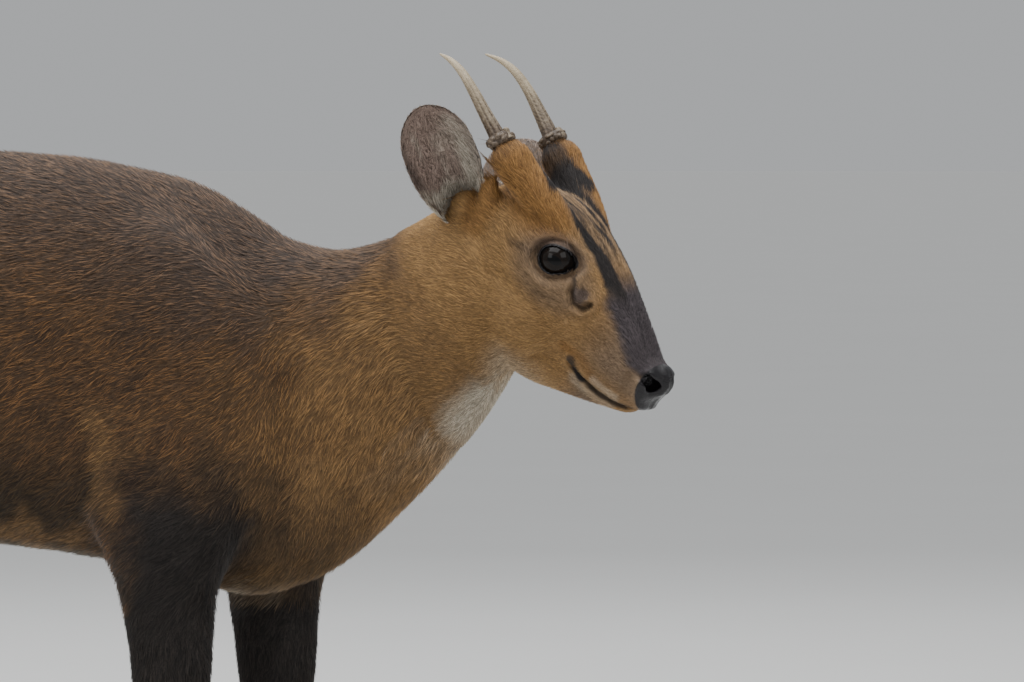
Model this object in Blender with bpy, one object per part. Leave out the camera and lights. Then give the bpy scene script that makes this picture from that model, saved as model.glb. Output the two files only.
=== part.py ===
"""A life-size muntjac buck, standing still with its head turned a little to its right.

Metres. +X runs from rump to head, +Y to the animal's left and +Z up; the eight hooves stand on z = 0.
The body is modelled whole, as smooth lofts fused into one skin, and is then parted by thin cuts.
"""

import math
from collections import namedtuple

import bpy
import numpy as np
from mathutils import Matrix, Vector

# Driving dimensions of the animal
GAP = 0.0003  # between nodes that touch
BODY_VOXEL = 0.0036
HEAD_VOXEL = 0.0014
BODY_TRIANGLES = 4400
HEAD_TRIANGLES = 5200
EYE_RADIUS = 0.0120
EAR_LENGTH = 0.082
EAR_WALL = 0.0024
ANTLER_SEED = 7

# The head has its own frame: x along the face to the nose, y to its left, z out of the forehead.
HEAD_AT = Vector((0.2800, -0.020, 0.4518))  # the point midway between the eyes
HEAD_YAW = math.radians(-13)  # turned to the animal's right
HEAD_PITCH = math.radians(42)  # nose down
HEAD_SCALE = 0.965
HEAD = (
    Matrix.Translation(HEAD_AT)
    @ Matrix.Rotation(HEAD_YAW, 4, "Z")
    @ Matrix.Rotation(HEAD_PITCH, 4, "Y")
    @ Matrix.Scale(HEAD_SCALE, 4)
)

Paint = namedtuple("Paint", "colour roughness metallic")
COAT = Paint((0.22, 0.11, 0.045), 0.75, 0.0)
LEG_COAT = Paint((0.045, 0.032, 0.027), 0.75, 0.0)
NOSE = Paint((0.018, 0.017, 0.02), 0.35, 0.0)
EYE = Paint((0.006, 0.005, 0.006), 0.05, 0.0)
ANTLER = Paint((0.42, 0.33, 0.23), 0.5, 0.0)
HOOF = Paint((0.03, 0.026, 0.023), 0.45, 0.0)

# A section of a loft is an oval between two points of a plane, its top and its bottom. It is
# half_width wide to each side at the share `widest` of the way up, and `side` off the plane.
Section = namedtuple("Section", "top bottom half_width widest square side")


def section(top, bottom, half_width, widest=0.5, square=2.0, side=0.0):
    return Section(top, bottom, half_width, widest, square, side)


def upright(x, top, bottom, half_width, widest=0.5, square=2.0, side=0.0):
    """A section of the trunk, square to X."""
    return section((x, top), (x, bottom), half_width, widest, square, side)


def level(z, front, back, half_width, side, square=2.2):
    """A section of a leg, at one height."""
    return section((front, z), (back, z), half_width, 0.5, square, side)


def smooth_rows(rows, steps):
    """Rows of numbers read off a cubic curve through them, with `steps` new rows for each old one."""
    rows = np.array(rows, float)
    middle = (rows[:, 0:2] + rows[:, 2:4]) / 2
    spans = np.linalg.norm(np.diff(middle, axis=0), axis=1) + 1e-6
    at = np.concatenate([[0], np.cumsum(spans)])
    slope = np.gradient(rows, at, axis=0)
    out = []
    for i, span in enumerate(spans):
        for k in range(steps):
            t = k / steps
            out.append(
                rows[i] * (1 + 2 * t) * (1 - t) ** 2
                + slope[i] * span * t * (1 - t) ** 2
                + rows[i + 1] * t * t * (3 - 2 * t)
                + slope[i + 1] * span * t * t * (t - 1)
            )
    out.append(rows[-1])
    return np.array(out)


def ring(row, sides):
    """The points of one section, given as top x, z, bottom x, z, half width, widest, square, side."""
    top, bottom = row[0:2], row[2:4]
    half_width, widest, square, side = row[4:8]
    middle = bottom + (top - bottom) * widest
    points = []
    for k in range(sides):
        turn = 2 * math.pi * k / sides
        across, up = math.cos(turn), math.sin(turn)
        reach = (top - middle) if up > 0 else (middle - bottom)
        rise = math.copysign(abs(up) ** (2 / square), up)
        out = math.copysign(abs(across) ** (2 / square), across)
        x, z = middle + reach * rise
        points.append((x, side + half_width * out, z))
    return np.array(points)


def skin_of(rings):
    """Closed vertices and faces through rings of like length, with a fan at each end."""
    sides = len(rings[0])
    points = [rings[0].mean(axis=0), *np.concatenate(rings), rings[-1].mean(axis=0)]
    faces = []
    last = len(points) - 1
    for i in range(len(rings) - 1):
        a, b = 1 + i * sides, 1 + (i + 1) * sides
        for k in range(sides):
            n = (k + 1) % sides
            faces.append((a + k, a + n, b + n, b + k))
    for k in range(sides):
        n = (k + 1) % sides
        faces.append((0, 1 + n, 1 + k))
        faces.append((last, last - sides + k, last - sides + n))
    return np.array(points), faces


def loft(sections, sides=28, steps=5, dome=(0.0, 0.0)):
    """A closed skin through the sections. dome rounds the first and last end out by that much."""
    rows = smooth_rows(
        [(*s.top, *s.bottom, s.half_width, s.widest, s.square, s.side) for s in sections], steps
    )
    rings = [ring(row, sides) for row in rows]
    dome_rings = 4
    for end, height in ((0, dome[0]), (-1, dome[1])):
        if not height:
            continue
        edge = rings[end]
        inward = rings[1 if end == 0 else -2].mean(axis=0)
        middle = edge.mean(axis=0)
        out = (middle - inward) / np.linalg.norm(middle - inward)
        caps = []
        for k in range(1, dome_rings):
            turn = math.pi / 2 * k / dome_rings
            caps.append(middle + (edge - middle) * math.cos(turn) + out * height * math.sin(turn))
        rings = caps[::-1] + rings if end == 0 else rings + caps
    return skin_of(rings)


def sweep(path, radii, sides=12, steps=6, flat=1.0):
    """A closed tube along a smooth curve through the path's points, flattened along Y by `flat`."""
    rows = np.column_stack([path, radii])
    rows = smooth_rows(np.column_stack([rows[:, [0, 2]], rows[:, [0, 2]], rows[:, [1, 3]]]), steps)
    centres = rows[:, [0, 4, 1]]
    rings = []
    aside = np.array((0.0, 1.0, 0.0))
    for i, centre in enumerate(centres):
        ahead = centres[min(i + 1, len(centres) - 1)] - centres[max(i - 1, 0)]
        ahead = ahead / np.linalg.norm(ahead)
        across = aside - ahead * (aside @ ahead)
        across = across / np.linalg.norm(across)
        up = np.cross(across, ahead)
        turns = 2 * math.pi * np.arange(sides) / sides
        rings.append(
            centre
            + rows[i, 5] * (np.outer(np.cos(turns), across) * flat + np.outer(np.sin(turns), up))
        )
    return skin_of(rings)


def ball(centre, radii, sides=24):
    """A closed ellipsoid."""
    rings = []
    bands = sides // 2
    for i in range(1, bands):
        fall = math.pi * i / bands
        turns = 2 * math.pi * np.arange(sides) / sides
        unit = np.column_stack(
            [
                np.full(sides, -math.cos(fall)),
                math.sin(fall) * np.cos(turns),
                math.sin(fall) * np.sin(turns),
            ]
        )
        rings.append(np.array(centre) + unit * np.array(radii))
    points, faces = skin_of(rings)
    points[0] = np.array(centre) - (radii[0], 0, 0)
    points[-1] = np.array(centre) + (radii[0], 0, 0)
    return points, faces


def moved(shape, matrix):
    """The same shape in another frame."""
    points, faces = shape
    turn = np.array(matrix)
    return points @ turn[:3, :3].T + turn[:3, 3], faces


def mirrored(shape):
    """The same shape on the other side of Y = 0."""
    points, faces = shape
    return points * (1, -1, 1), [tuple(reversed(face)) for face in faces]


def mesh_object(name, shape, paint=None):
    """A linked object whose faces point out."""
    points, faces = shape
    mesh = bpy.data.meshes.new(name)
    mesh.from_pydata([tuple(p) for p in points], [], [tuple(int(i) for i in f) for f in faces])
    mesh.update()
    obj = bpy.data.objects.new(name, mesh)
    bpy.context.scene.collection.objects.link(obj)
    if signed_volume(obj) < 0:
        mesh.flip_normals()
    if paint:
        dress(obj, paint)
    return obj


def signed_volume(obj):
    """Six times the volume inside the mesh, negative where its faces point in."""
    mesh = obj.data
    mesh.calc_loop_triangles()
    corners = np.zeros(len(mesh.loop_triangles) * 3, int)
    mesh.loop_triangles.foreach_get("vertices", corners)
    points = points_of(mesh)[corners].reshape(-1, 3, 3)
    return np.einsum("ij,ij->i", points[:, 0], np.cross(points[:, 1], points[:, 2])).sum()


def points_of(mesh):
    points = np.zeros(len(mesh.vertices) * 3)
    mesh.vertices.foreach_get("co", points)
    return points.reshape(-1, 3)


def normals_of(mesh):
    normals = np.zeros(len(mesh.vertices) * 3)
    mesh.vertex_normals.foreach_get("vector", normals)
    return normals.reshape(-1, 3)


def set_points(mesh, points):
    mesh.vertices.foreach_set("co", np.ascontiguousarray(points, np.float32).ravel())
    mesh.update()


def dress(obj, paint):
    """Gives the object a material of its own."""
    material = bpy.data.materials.new(obj.name)
    material.use_nodes = True
    shader = material.node_tree.nodes["Principled BSDF"]
    shader.inputs["Base Color"].default_value = (*paint.colour, 1)
    shader.inputs["Roughness"].default_value = paint.roughness
    shader.inputs["Metallic"].default_value = paint.metallic
    obj.data.materials.clear()
    obj.data.materials.append(material)
    obj.data.shade_smooth()
    obj.data.set_sharp_from_angle(angle=math.radians(50))


def settle(obj):
    """Makes the object's modifiers part of its mesh."""
    graph = bpy.context.evaluated_depsgraph_get()
    settled = bpy.data.meshes.new_from_object(obj.evaluated_get(graph))
    obj.modifiers.clear()
    old, obj.data = obj.data, settled
    bpy.data.meshes.remove(old)
    return obj


def remove(*objects):
    for obj in objects:
        bpy.data.objects.remove(obj)


def fused(name, shapes, voxel):
    """One closed skin round all the shapes, from a voxel remesh."""
    points, faces, first = [], [], 0
    for shape_points, shape_faces in shapes:
        helper = mesh_object("helper", (shape_points, shape_faces))
        faces += [tuple(first + i for i in p.vertices) for p in helper.data.polygons]
        remove(helper)
        points.append(shape_points)
        first += len(shape_points)
    obj = mesh_object(name, (np.concatenate(points), faces))
    remesh = obj.modifiers.new("skin", "REMESH")
    remesh.mode = "VOXEL"
    remesh.voxel_size = voxel
    return settle(obj)


def relax(obj, rounds, hold=None, shrink=0.55, swell=-0.58):
    """Smooths the skin in pairs of steps, in and out again, so that it keeps its volume."""
    mesh = obj.data
    edges = np.zeros(len(mesh.edges) * 2, int)
    mesh.edges.foreach_get("vertices", edges)
    a, b = edges.reshape(-1, 2).T
    points = points_of(mesh)
    count = np.bincount(np.concatenate([a, b]), minlength=len(points))[:, None]
    share = np.ones((len(points), 1)) if hold is None else hold[:, None]
    for step in range(rounds * 2):
        total = np.zeros_like(points)
        for axis in range(3):
            total[:, axis] = np.bincount(a, points[b, axis], len(points)) + np.bincount(
                b, points[a, axis], len(points)
            )
        points += (total / count - points) * share * (swell if step % 2 else shrink)
    set_points(mesh, points)


def thin_out(obj, triangles, keep=None):
    """Collapses the skin to about so many triangles, fewer where keep is low."""
    mesh = obj.data
    now = sum(len(p.vertices) - 2 for p in mesh.polygons)
    decimate = obj.modifiers.new("thin out", "DECIMATE")
    decimate.ratio = triangles / now
    if keep is not None:
        group = obj.vertex_groups.new(name="keep")
        for weight in np.unique(np.round(keep, 1)):
            chosen = np.nonzero(np.round(keep, 1) == weight)[0]
            group.add([int(i) for i in chosen], float(weight), "REPLACE")
        decimate.vertex_group = "keep"
        decimate.invert_vertex_group = True
        decimate.vertex_group_factor = 0.0001
    settle(obj)
    obj.vertex_groups.clear()


def combined(obj, other, operation):
    """obj joined with, cut by or kept inside another closed object."""
    boolean = obj.modifiers.new("cut", "BOOLEAN")
    boolean.operation = operation
    boolean.object = other
    boolean.solver = "MANIFOLD"
    settle(obj)
    return obj


def largest_piece(obj):
    """Keeps the largest closed surface of the object."""
    mesh = obj.data
    parent = list(range(len(mesh.vertices)))

    def root(i):
        while parent[i] != i:
            parent[i] = parent[parent[i]]
            i = parent[i]
        return i

    for edge in mesh.edges:
        a, b = (root(i) for i in edge.vertices)
        parent[a] = b
    owner = np.array([root(i) for i in range(len(parent))])
    names, counts = np.unique(owner, return_counts=True)
    if len(names) > 1:
        main = names[np.argmax(counts)]
        kept = np.nonzero(owner == main)[0]
        index = np.full(len(owner), -1)
        index[kept] = np.arange(len(kept))
        points = points_of(mesh)[kept]
        faces = [
            tuple(index[i] for i in p.vertices) for p in mesh.polygons if owner[p.vertices[0]] == main
        ]
        old = obj.data
        fresh = bpy.data.meshes.new(obj.name)
        fresh.from_pydata([tuple(p) for p in points], [], [tuple(int(i) for i in f) for f in faces])
        for material in old.materials:
            fresh.materials.append(material)
        obj.data = fresh
        bpy.data.meshes.remove(old)
    return obj


def copied(obj, name, grown=0.0):
    """A copy of the object, with its skin pushed out by `grown`."""
    twin = bpy.data.objects.new(name, obj.data.copy())
    bpy.context.scene.collection.objects.link(twin)
    if grown:
        set_points(twin.data, points_of(twin.data) + normals_of(twin.data) * grown)
    return twin


def block(centre, size, turn=None):
    """A closed box, as a cutter."""
    corners = np.array([(x, y, z) for x in (-0.5, 0.5) for y in (-0.5, 0.5) for z in (-0.5, 0.5)])
    faces = [(0, 1, 3, 2), (4, 6, 7, 5), (0, 4, 5, 1), (2, 3, 7, 6), (0, 2, 6, 4), (1, 5, 7, 3)]
    matrix = Matrix.Translation(centre) @ (turn.to_4x4() if turn else Matrix.Identity(4))
    return moved((corners * np.array(size), faces), matrix)


def cutter(point, normal, size, lift=0.0):
    """A box whose near face lies on the plane through the point, reaching away from the normal."""
    normal = Vector(normal).normalized()
    turn = normal.to_track_quat("Z", "Y").to_matrix()
    centre = Vector(point) + normal * (lift - size[2] / 2)
    return mesh_object("cutter", block(centre, size, turn))


def part_off(whole, name, point, normal, size, paint):
    """Parts a node off the whole with a thin plane cut: the node lies on the far side from normal."""
    node = copied(whole, name)
    tool = cutter(point, normal, size)
    combined(node, tool, "INTERSECT")
    remove(tool)
    wide = (size[0] + 2 * GAP, size[1] + 2 * GAP, size[2] + 2 * GAP)
    tool = cutter(point, normal, wide, lift=GAP)
    combined(whole, tool, "DIFFERENCE")
    remove(tool)
    dress(largest_piece(node), paint)
    return node


def trimmed(obj, neighbour):
    """Cuts the object back to the neighbour's skin, with the gap that touching nodes keep."""
    tool = copied(neighbour, "neighbour", grown=GAP * 1.3)
    combined(obj, tool, "DIFFERENCE")
    remove(tool)
    return largest_piece(obj)


# Trunk, from the rump to the front of the chest
def trunk():
    return loft(
        [
            upright(-0.478, 0.432, 0.345, 0.034, 0.55),
            upright(-0.455, 0.463, 0.312, 0.058, 0.55),
            upright(-0.405, 0.4985, 0.294, 0.076, 0.52),
            upright(-0.340, 0.5180, 0.287, 0.084, 0.48),
            upright(-0.265, 0.5250, 0.279, 0.090, 0.44),
            upright(-0.185, 0.5240, 0.274, 0.093, 0.42),
            upright(-0.105, 0.5200, 0.270, 0.089, 0.42),
            upright(-0.035, 0.5140, 0.261, 0.079, 0.44),
            upright(0.015, 0.5020, 0.249, 0.069, 0.46),
            upright(0.060, 0.4765, 0.2425, 0.057, 0.50),
            upright(0.098, 0.4520, 0.2550, 0.045, 0.50),
        ],
        sides=48,
        dome=(0.022, 0.028),
    )


# Neck, from inside the chest to inside the skull
def neck():
    return loft(
        [
            section((0.020, 0.492), (0.070, 0.262), 0.060),
            section((0.072, 0.468), (0.110, 0.263), 0.059),
            section((0.108, 0.460), (0.146, 0.293), 0.055),
            section((0.134, 0.464), (0.173, 0.319), 0.050, side=-0.001),
            section((0.160, 0.475), (0.200, 0.348), 0.046, side=-0.004),
            section((0.186, 0.488), (0.222, 0.378), 0.042, side=-0.008),
            section((0.204, 0.494), (0.236, 0.400), 0.036, side=-0.012),
        ],
        sides=48,
        dome=(0.0, 0.01),
    )


def shoulder(side):
    """The blade and upper arm, which swell out of the trunk."""
    blade = loft(
        [
            section((-0.008, 0.492), (-0.030, 0.478), 0.008, side=-0.030),
            section((0.020, 0.480), (-0.046, 0.440), 0.020, side=-0.045),
            section((0.066, 0.440), (-0.056, 0.385), 0.027, side=-0.0525),
            section((0.098, 0.385), (-0.054, 0.330), 0.029, side=-0.0530),
            section((0.096, 0.330), (-0.036, 0.295), 0.026, side=-0.0500),
            section((0.075, 0.290), (-0.018, 0.272), 0.018, side=-0.0470),
        ],
        sides=28,
        dome=(0.006, 0.012),
    )
    return blade if side < 0 else mirrored(blade)


# The legs stand a little out of step, as in a calm stance.
FORE_STEP = {-1: 0.0, 1: 0.030}
HIND_STEP = {-1: 0.0, 1: 0.036}
FORE_Y, HIND_Y = 0.050, 0.052


def foreleg(side):
    x = FORE_STEP[side]
    y = side * FORE_Y
    return loft(
        [
            level(0.350, 0.050 + x * 0.3, -0.022, 0.010, y * 0.80),
            level(0.325, 0.068 + x * 0.5, -0.038 + x * 0.2, 0.022, y * 0.96),
            level(0.295, 0.069 + x * 0.8, -0.038 + x * 0.5, 0.0280, y * 1.03),
            level(0.270, 0.058 + x, -0.027 + x * 0.8, 0.0268, y * 1.03),
            level(0.248, 0.048 + x, -0.018 + x, 0.0240, y),
            level(0.220, 0.0450 + x, -0.0115 + x, 0.0212, y),
            level(0.190, 0.0430 + x, -0.0080 + x, 0.0188, y),
            level(0.165, 0.0390 + x, -0.004 + x, 0.0170, y),
            level(0.145, 0.0380 + x, 0.000 + x, 0.0165, y),
            level(0.126, 0.0305 + x, 0.004 + x, 0.0138, y),
            level(0.100, 0.0275 + x, 0.0055 + x, 0.0110, y),
            level(0.068, 0.0275 + x, 0.005 + x, 0.0110, y),
            level(0.050, 0.031 + x, 0.001 + x, 0.0132, y),
            level(0.036, 0.036 + x, 0.007 + x, 0.0130, y),
            level(0.020, 0.043 + x, 0.012 + x, 0.0135, y),
            level(0.008, 0.046 + x, 0.014 + x, 0.0135, y),
        ],
        sides=28,
    )


def hindleg(side):
    x = HIND_STEP[side]
    y = side * HIND_Y
    return loft(
        [
            level(0.468, -0.372, -0.432, 0.010, y * 0.45),
            level(0.440, -0.346 + x * 0.1, -0.461, 0.026, y * 0.66),
            level(0.400, -0.320 + x * 0.2, -0.481, 0.0345, y * 0.86),
            level(0.350, -0.300 + x * 0.5, -0.489 + x * 0.2, 0.0370, y * 0.98),
            level(0.305, -0.302 + x * 0.8, -0.481 + x * 0.4, 0.0335, y * 1.04),
            level(0.275, -0.322 + x, -0.468 + x * 0.6, 0.0285, y * 1.05),
            level(0.250, -0.350 + x, -0.461 + x * 0.8, 0.0235, y * 1.04),
            level(0.228, -0.379 + x, -0.462 + x, 0.0192, y * 1.02),
            level(0.208, -0.402 + x, -0.468 + x, 0.0168, y),
            level(0.190, -0.416 + x, -0.470 + x, 0.0162, y),
            level(0.168, -0.423 + x, -0.461 + x, 0.0150, y),
            level(0.140, -0.422 + x, -0.450 + x, 0.0124, y),
            level(0.100, -0.417 + x, -0.442 + x, 0.0112, y),
            level(0.070, -0.413 + x, -0.437 + x, 0.0112, y),
            level(0.051, -0.407 + x, -0.437 + x, 0.0132, y),
            level(0.037, -0.401 + x, -0.430 + x, 0.0130, y),
            level(0.020, -0.393 + x, -0.424 + x, 0.0135, y),
            level(0.008, -0.390 + x, -0.422 + x, 0.0135, y),
        ],
        sides=28,
    )


def tail_shape():
    path = [
        (-0.452, 0, 0.448),
        (-0.483, 0, 0.440),
        (-0.5015, 0, 0.410),
        (-0.5075, 0, 0.370),
        (-0.5085, 0, 0.326),
    ]
    return sweep(path, (0.018, 0.0155, 0.0140, 0.0120, 0.0030), sides=14, steps=3, flat=1.5)


# Head, in its own frame: the nose is at +x and the forehead at +z.
def skull():
    return loft(
        [
            section((-0.086, -0.014), (-0.078, -0.056), 0.026, 0.55),
            section((-0.070, 0.008), (-0.060, -0.070), 0.0345, 0.55),
            section((-0.045, 0.021), (-0.036, -0.081), 0.0380, 0.60),
            section((-0.020, 0.0258), (-0.010, -0.084), 0.0385, 0.63, 1.85),
            section((0.002, 0.0226), (0.008, -0.082), 0.0365, 0.65, 1.72),
            section((0.022, 0.0174), (0.028, -0.074), 0.0320, 0.61, 1.72),
            section((0.044, 0.0084), (0.048, -0.0620), 0.0255, 0.55, 1.88),
            section((0.062, 0.0001), (0.066, -0.0520), 0.0210, 0.52, 2.05),
            section((0.078, -0.0080), (0.079, -0.0470), 0.0182, 0.50, 2.3),
            section((0.089, -0.0110), (0.088, -0.0420), 0.0150, 0.50, 2.3),
        ],
        sides=48,
        dome=(0.015, 0.006),
    )


def jaw():
    return loft(
        [
            section((-0.050, -0.040), (-0.034, -0.0830), 0.024),
            section((-0.012, -0.045), (-0.002, -0.0865), 0.0270),
            section((0.014, -0.045), (0.020, -0.0820), 0.0245),
            section((0.036, -0.045), (0.040, -0.0725), 0.0200),
            section((0.056, -0.0430), (0.058, -0.0635), 0.0160, 0.5, 2.2),
            section((0.071, -0.0400), (0.072, -0.0560), 0.0130, 0.5, 2.3),
            section((0.082, -0.0390), (0.082, -0.0500), 0.0100, 0.5, 2.3),
        ],
        sides=36,
        dome=(0.010, 0.0050),
    )


# The furred stalk of an antler rises out of a ridge along the brow.
PEDICLE_PATH = (
    (0.004, 0.0115, 0.0050),
    (-0.016, 0.0160, 0.0105),
    (-0.038, 0.0220, 0.0158),
    (-0.060, 0.0270, 0.0203),
    (-0.0765, 0.0300, 0.0243),
    (-0.0835, 0.0308, 0.0262),
)
PEDICLE_RADII = (0.0075, 0.0108, 0.0124, 0.0127, 0.0118, 0.0080)


def pedicle(side):
    return sweep([(x, side * y, z) for x, y, z in PEDICLE_PATH], PEDICLE_RADII, sides=24)


EAR_RIDGE = (
    (-0.0620, 0.0270, -0.0240),
    (-0.0668, 0.0280, -0.0130),
    (-0.0720, 0.0290, -0.0020),
    (-0.0775, 0.0290, 0.0075),
)


def ear_root(side):
    """The stalk under the ear and the ridge of hair in front of its cup."""
    path = [(x, side * y, z) for x, y, z in EAR_RIDGE]
    stalk = ball((-0.0790, side * 0.0250, -0.0240), (0.0125, 0.0100, 0.0125), 24)
    return [sweep(path, (0.0125, 0.0095, 0.0068, 0.0030), sides=20), stalk]


def cheek(side):
    return ball((-0.016, side * 0.0235, -0.046), (0.040, 0.0160, 0.027), 28)


def nose_lobes():
    return [ball((0.0868, 0, -0.0190), (0.0108, 0.0095, 0.0115), 24)] + [
        ball((0.0835, side * 0.0085, -0.0225), (0.0100, 0.0090, 0.0122), 24) for side in (-1, 1)
    ]


# The eye: a ball in a socket, under lids parted by an almond opening
EYE_AT = {side: np.array((-0.0085, side * 0.0227, -0.0030)) for side in (-1, 1)}
EYE_OPENING = (0.0116, 0.0090)  # half its length and half its height
LID = 0.0015


def eye_axes(side):
    """Out of the eye, along its opening to the inner corner, and up."""
    out = Vector((0.30, side * 0.92, 0.25)).normalized()
    along = Vector((0.94, 0, 0.30))
    along = (along - out * along.dot(out)).normalized()
    up = out.cross(along) * side
    return tuple(np.array(v) for v in (out, along, up))


def eye_ball(side, grown=0.0):
    radius = EYE_RADIUS + grown / HEAD_SCALE
    return ball(EYE_AT[side], (radius, radius, radius), 20)


def eye_opening(side):
    """The almond that parts the lids, from inside the ball out to the air."""
    out, along, up = eye_axes(side)
    rings = []
    for reach, spread in ((0.004, 0.86), (0.0115, 1.0), (0.022, 1.22)):
        points = []
        for k in range(28):
            turn = 2 * math.pi * k / 28
            length, height = EYE_OPENING
            x, y = math.cos(turn), math.sin(turn)
            y = math.copysign(abs(y) ** (1.45 if x > 0 else 1.1), y) * height
            x = x * length * (1.16 if x > 0 else 1.0)
            y -= 0.16 * max(x, 0) + 0.0002
            points.append(EYE_AT[side] + out * reach + (along * x + up * y) * spread)
        rings.append(np.array(points))
    return skin_of(rings)


MOUTH_LINE = (
    (0.0400, -0.0463),
    (0.0532, -0.0480),
    (0.0653, -0.0487),
    (0.0767, -0.0466),
    (0.0850, -0.0430),
    (0.0960, -0.0395),
)


def mouth_slot():
    """A thin blade along the mouth line, all the way round the muzzle, that parts the lips."""
    half_widths = (0.0270, 0.0235, 0.0210, 0.0190, 0.0180, 0.0160)
    inner_widths = (0.0180, 0.0150, 0.0122, 0.0095, 0.0060, 0.0)
    shapes = []
    for side in (-1, 1):
        rings = []
        for (x, z), wide, inner in zip(MOUTH_LINE, half_widths, inner_widths):
            inside = max(inner - 0.0005, -0.001)
            rings.append(
                np.array(
                    [
                        (x, side * inside, z - 0.0004),
                        (x, side * wide, z - 0.0006),
                        (x, side * wide, z + 0.0006),
                        (x, side * inside, z + 0.0004),
                    ]
                )
            )
        shapes.append(skin_of(rings))
    return shapes


def nostril(side):
    """A comma on the nose pad: a deep round hole with a tail that curls out and back."""
    hole = sweep(
        [
            (0.101, side * 0.0145, -0.0180),
            (0.094, side * 0.0115, -0.0190),
            (0.087, side * 0.0085, -0.0205),
            (0.080, side * 0.0060, -0.0225),
        ],
        (0.0052, 0.0043, 0.0030, 0.0012),
        sides=14,
        steps=2,
    )
    tail = sweep(
        [
            (0.0940, side * 0.0122, -0.0185),
            (0.0905, side * 0.0146, -0.0172),
            (0.0860, side * 0.0163, -0.0168),
            (0.0815, side * 0.0178, -0.0178),
        ],
        (0.0040, 0.0033, 0.0024, 0.0010),
        sides=12,
        steps=3,
    )
    return hole, tail


GLAND_LINE = np.array(
    ((0.0100, -0.0010), (0.0145, -0.0035), (0.0168, -0.0080), (0.0222, -0.0124), (0.0286, -0.0114),
     (0.0298, -0.0070))
)


def line_distance(points, line):
    """How far each point of a plane is from a run of points."""
    best = np.full(len(points), 1.0)
    for a, b in zip(line, line[1:]):
        along = b - a
        share = np.clip(((points - a) @ along) / (along @ along), 0, 1)
        best = np.minimum(best, np.linalg.norm(points - a - share[:, None] * along, axis=1))
    return best


def bump(distance, reach):
    """1 at no distance, easing to 0 at the reach."""
    share = np.clip(1 - distance / reach, 0, 1)
    return share * share * (3 - 2 * share)


def carve_face(obj):
    """Shapes the lids, brows, tear glands, cheekbones, lips and nose wings on the dense skin."""
    mesh = obj.data
    to_face = np.array(HEAD.inverted())
    world = points_of(mesh)
    face = world @ to_face[:3, :3].T + to_face[:3, 3]
    normals = normals_of(mesh) @ np.array(HEAD.to_3x3().normalized())
    start = face.copy()
    for side in (-1, 1):
        this_side = start[:, 1] * side > 0
        out, along, up = eye_axes(side)
        # Lids: the skin is laid on a shell a little larger than the eyeball.
        offset = start - EYE_AT[side]
        distance = np.linalg.norm(offset, axis=1)
        x, y = offset @ along, offset @ up
        from_axis = np.hypot(x / 1.12, y)
        ahead = offset @ out > 0.002
        share = bump(np.clip(from_axis - 0.0108, 0, 1), 0.0085) * ahead
        shell = EYE_RADIUS + LID
        reach = np.sqrt(shell**2 - np.minimum(from_axis, 0.0112) ** 2) - offset @ out
        reach = np.clip(reach, -0.0025, 0.006)
        face += (share * reach)[:, None] * out
        # A fold above the upper lid and a soft bag under the lower one
        fold = bump(np.abs(from_axis - 0.0140), 0.0026) * ahead
        face += (fold * np.where(y > 0, -0.0009, -0.0006))[:, None] * out
        brow = bump(np.hypot((x + 0.003) / 2.3, y - 0.0185), 0.0070) * ahead
        face += (brow * 0.0012)[:, None] * out
        # Tear gland
        flat = start[:, [0, 2]]
        groove = line_distance(flat, GLAND_LINE)
        rim = bump(np.abs(groove - 0.0036), 0.0030)
        pit = bump(groove, 0.0027)
        face += ((rim * 0.0007 - pit * 0.0026) * this_side)[:, None] * out
        # Cheekbone under the eye and hollow before it
        cheekbone = np.array(((-0.040, -0.024), (0.004, -0.0245), (0.030, -0.023)))
        bone = bump(line_distance(flat, cheekbone), 0.014)
        face += (bone * 0.0010 * this_side)[:, None] * (0, side, 0)
        hollow = bump(np.hypot((start[:, 0] - 0.046) / 1.6, start[:, 2] + 0.022), 0.013)
        face -= (hollow * 0.0020 * this_side)[:, None] * (0, side, 0)
        # Lips: a soft roll on each side of the mouth line, which the slot then parts
        line = np.array(MOUTH_LINE)
        above = bump(line_distance(flat, line + (0, 0.0040)), 0.0052) * (start[:, 0] > 0.036)
        below = bump(line_distance(flat, line + (-0.002, -0.0032)), 0.0038) * (start[:, 0] > 0.036)
        face += ((above * 0.0015 + below * 0.0005) * this_side)[:, None] * normals
        dip = bump(line_distance(flat, line), 0.0020)
        face -= (dip * 0.0012 * this_side)[:, None] * normals
        # Crease behind the wing of the nose
        wing_line = np.array(((0.0800, -0.0130), (0.0775, -0.0215), (0.0800, -0.0310)))
        wing = bump(line_distance(flat, wing_line), 0.0030)
        face -= (wing * 0.0013 * this_side)[:, None] * normals
    # Dip between the brows, the groove down the middle of the pad and upper lip
    dip = bump(np.hypot((start[:, 0] + 0.020) / 3.0, start[:, 1]), 0.0085) * (start[:, 2] > 0)
    face -= (dip * 0.0020)[:, None] * (0.0, 0.0, 1.0)
    seam = bump(np.abs(start[:, 1]), 0.0022) * (start[:, 0] > 0.086) * (start[:, 2] > -0.046)
    face -= (seam * 0.0010)[:, None] * normals
    # The hair of the pedicle's top stands out in a ruff under the antler.
    for side in (-1, 1):
        top = np.array(PEDICLE_PATH[-1]) * (1, side, 1)
        axis = top - np.array(PEDICLE_PATH[-2]) * (1, side, 1)
        axis = axis / np.linalg.norm(axis)
        along = (start - top) @ axis
        aside = (start - top) - along[:, None] * axis
        ruff = bump(np.abs(along + 0.006), 0.012) * (np.linalg.norm(aside, axis=1) < 0.02) * (along < 0)
        face += aside * (ruff * 0.10)[:, None]
    turn = np.array(HEAD)
    set_points(mesh, face @ turn[:3, :3].T + turn[:3, 3])
    return face


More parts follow.
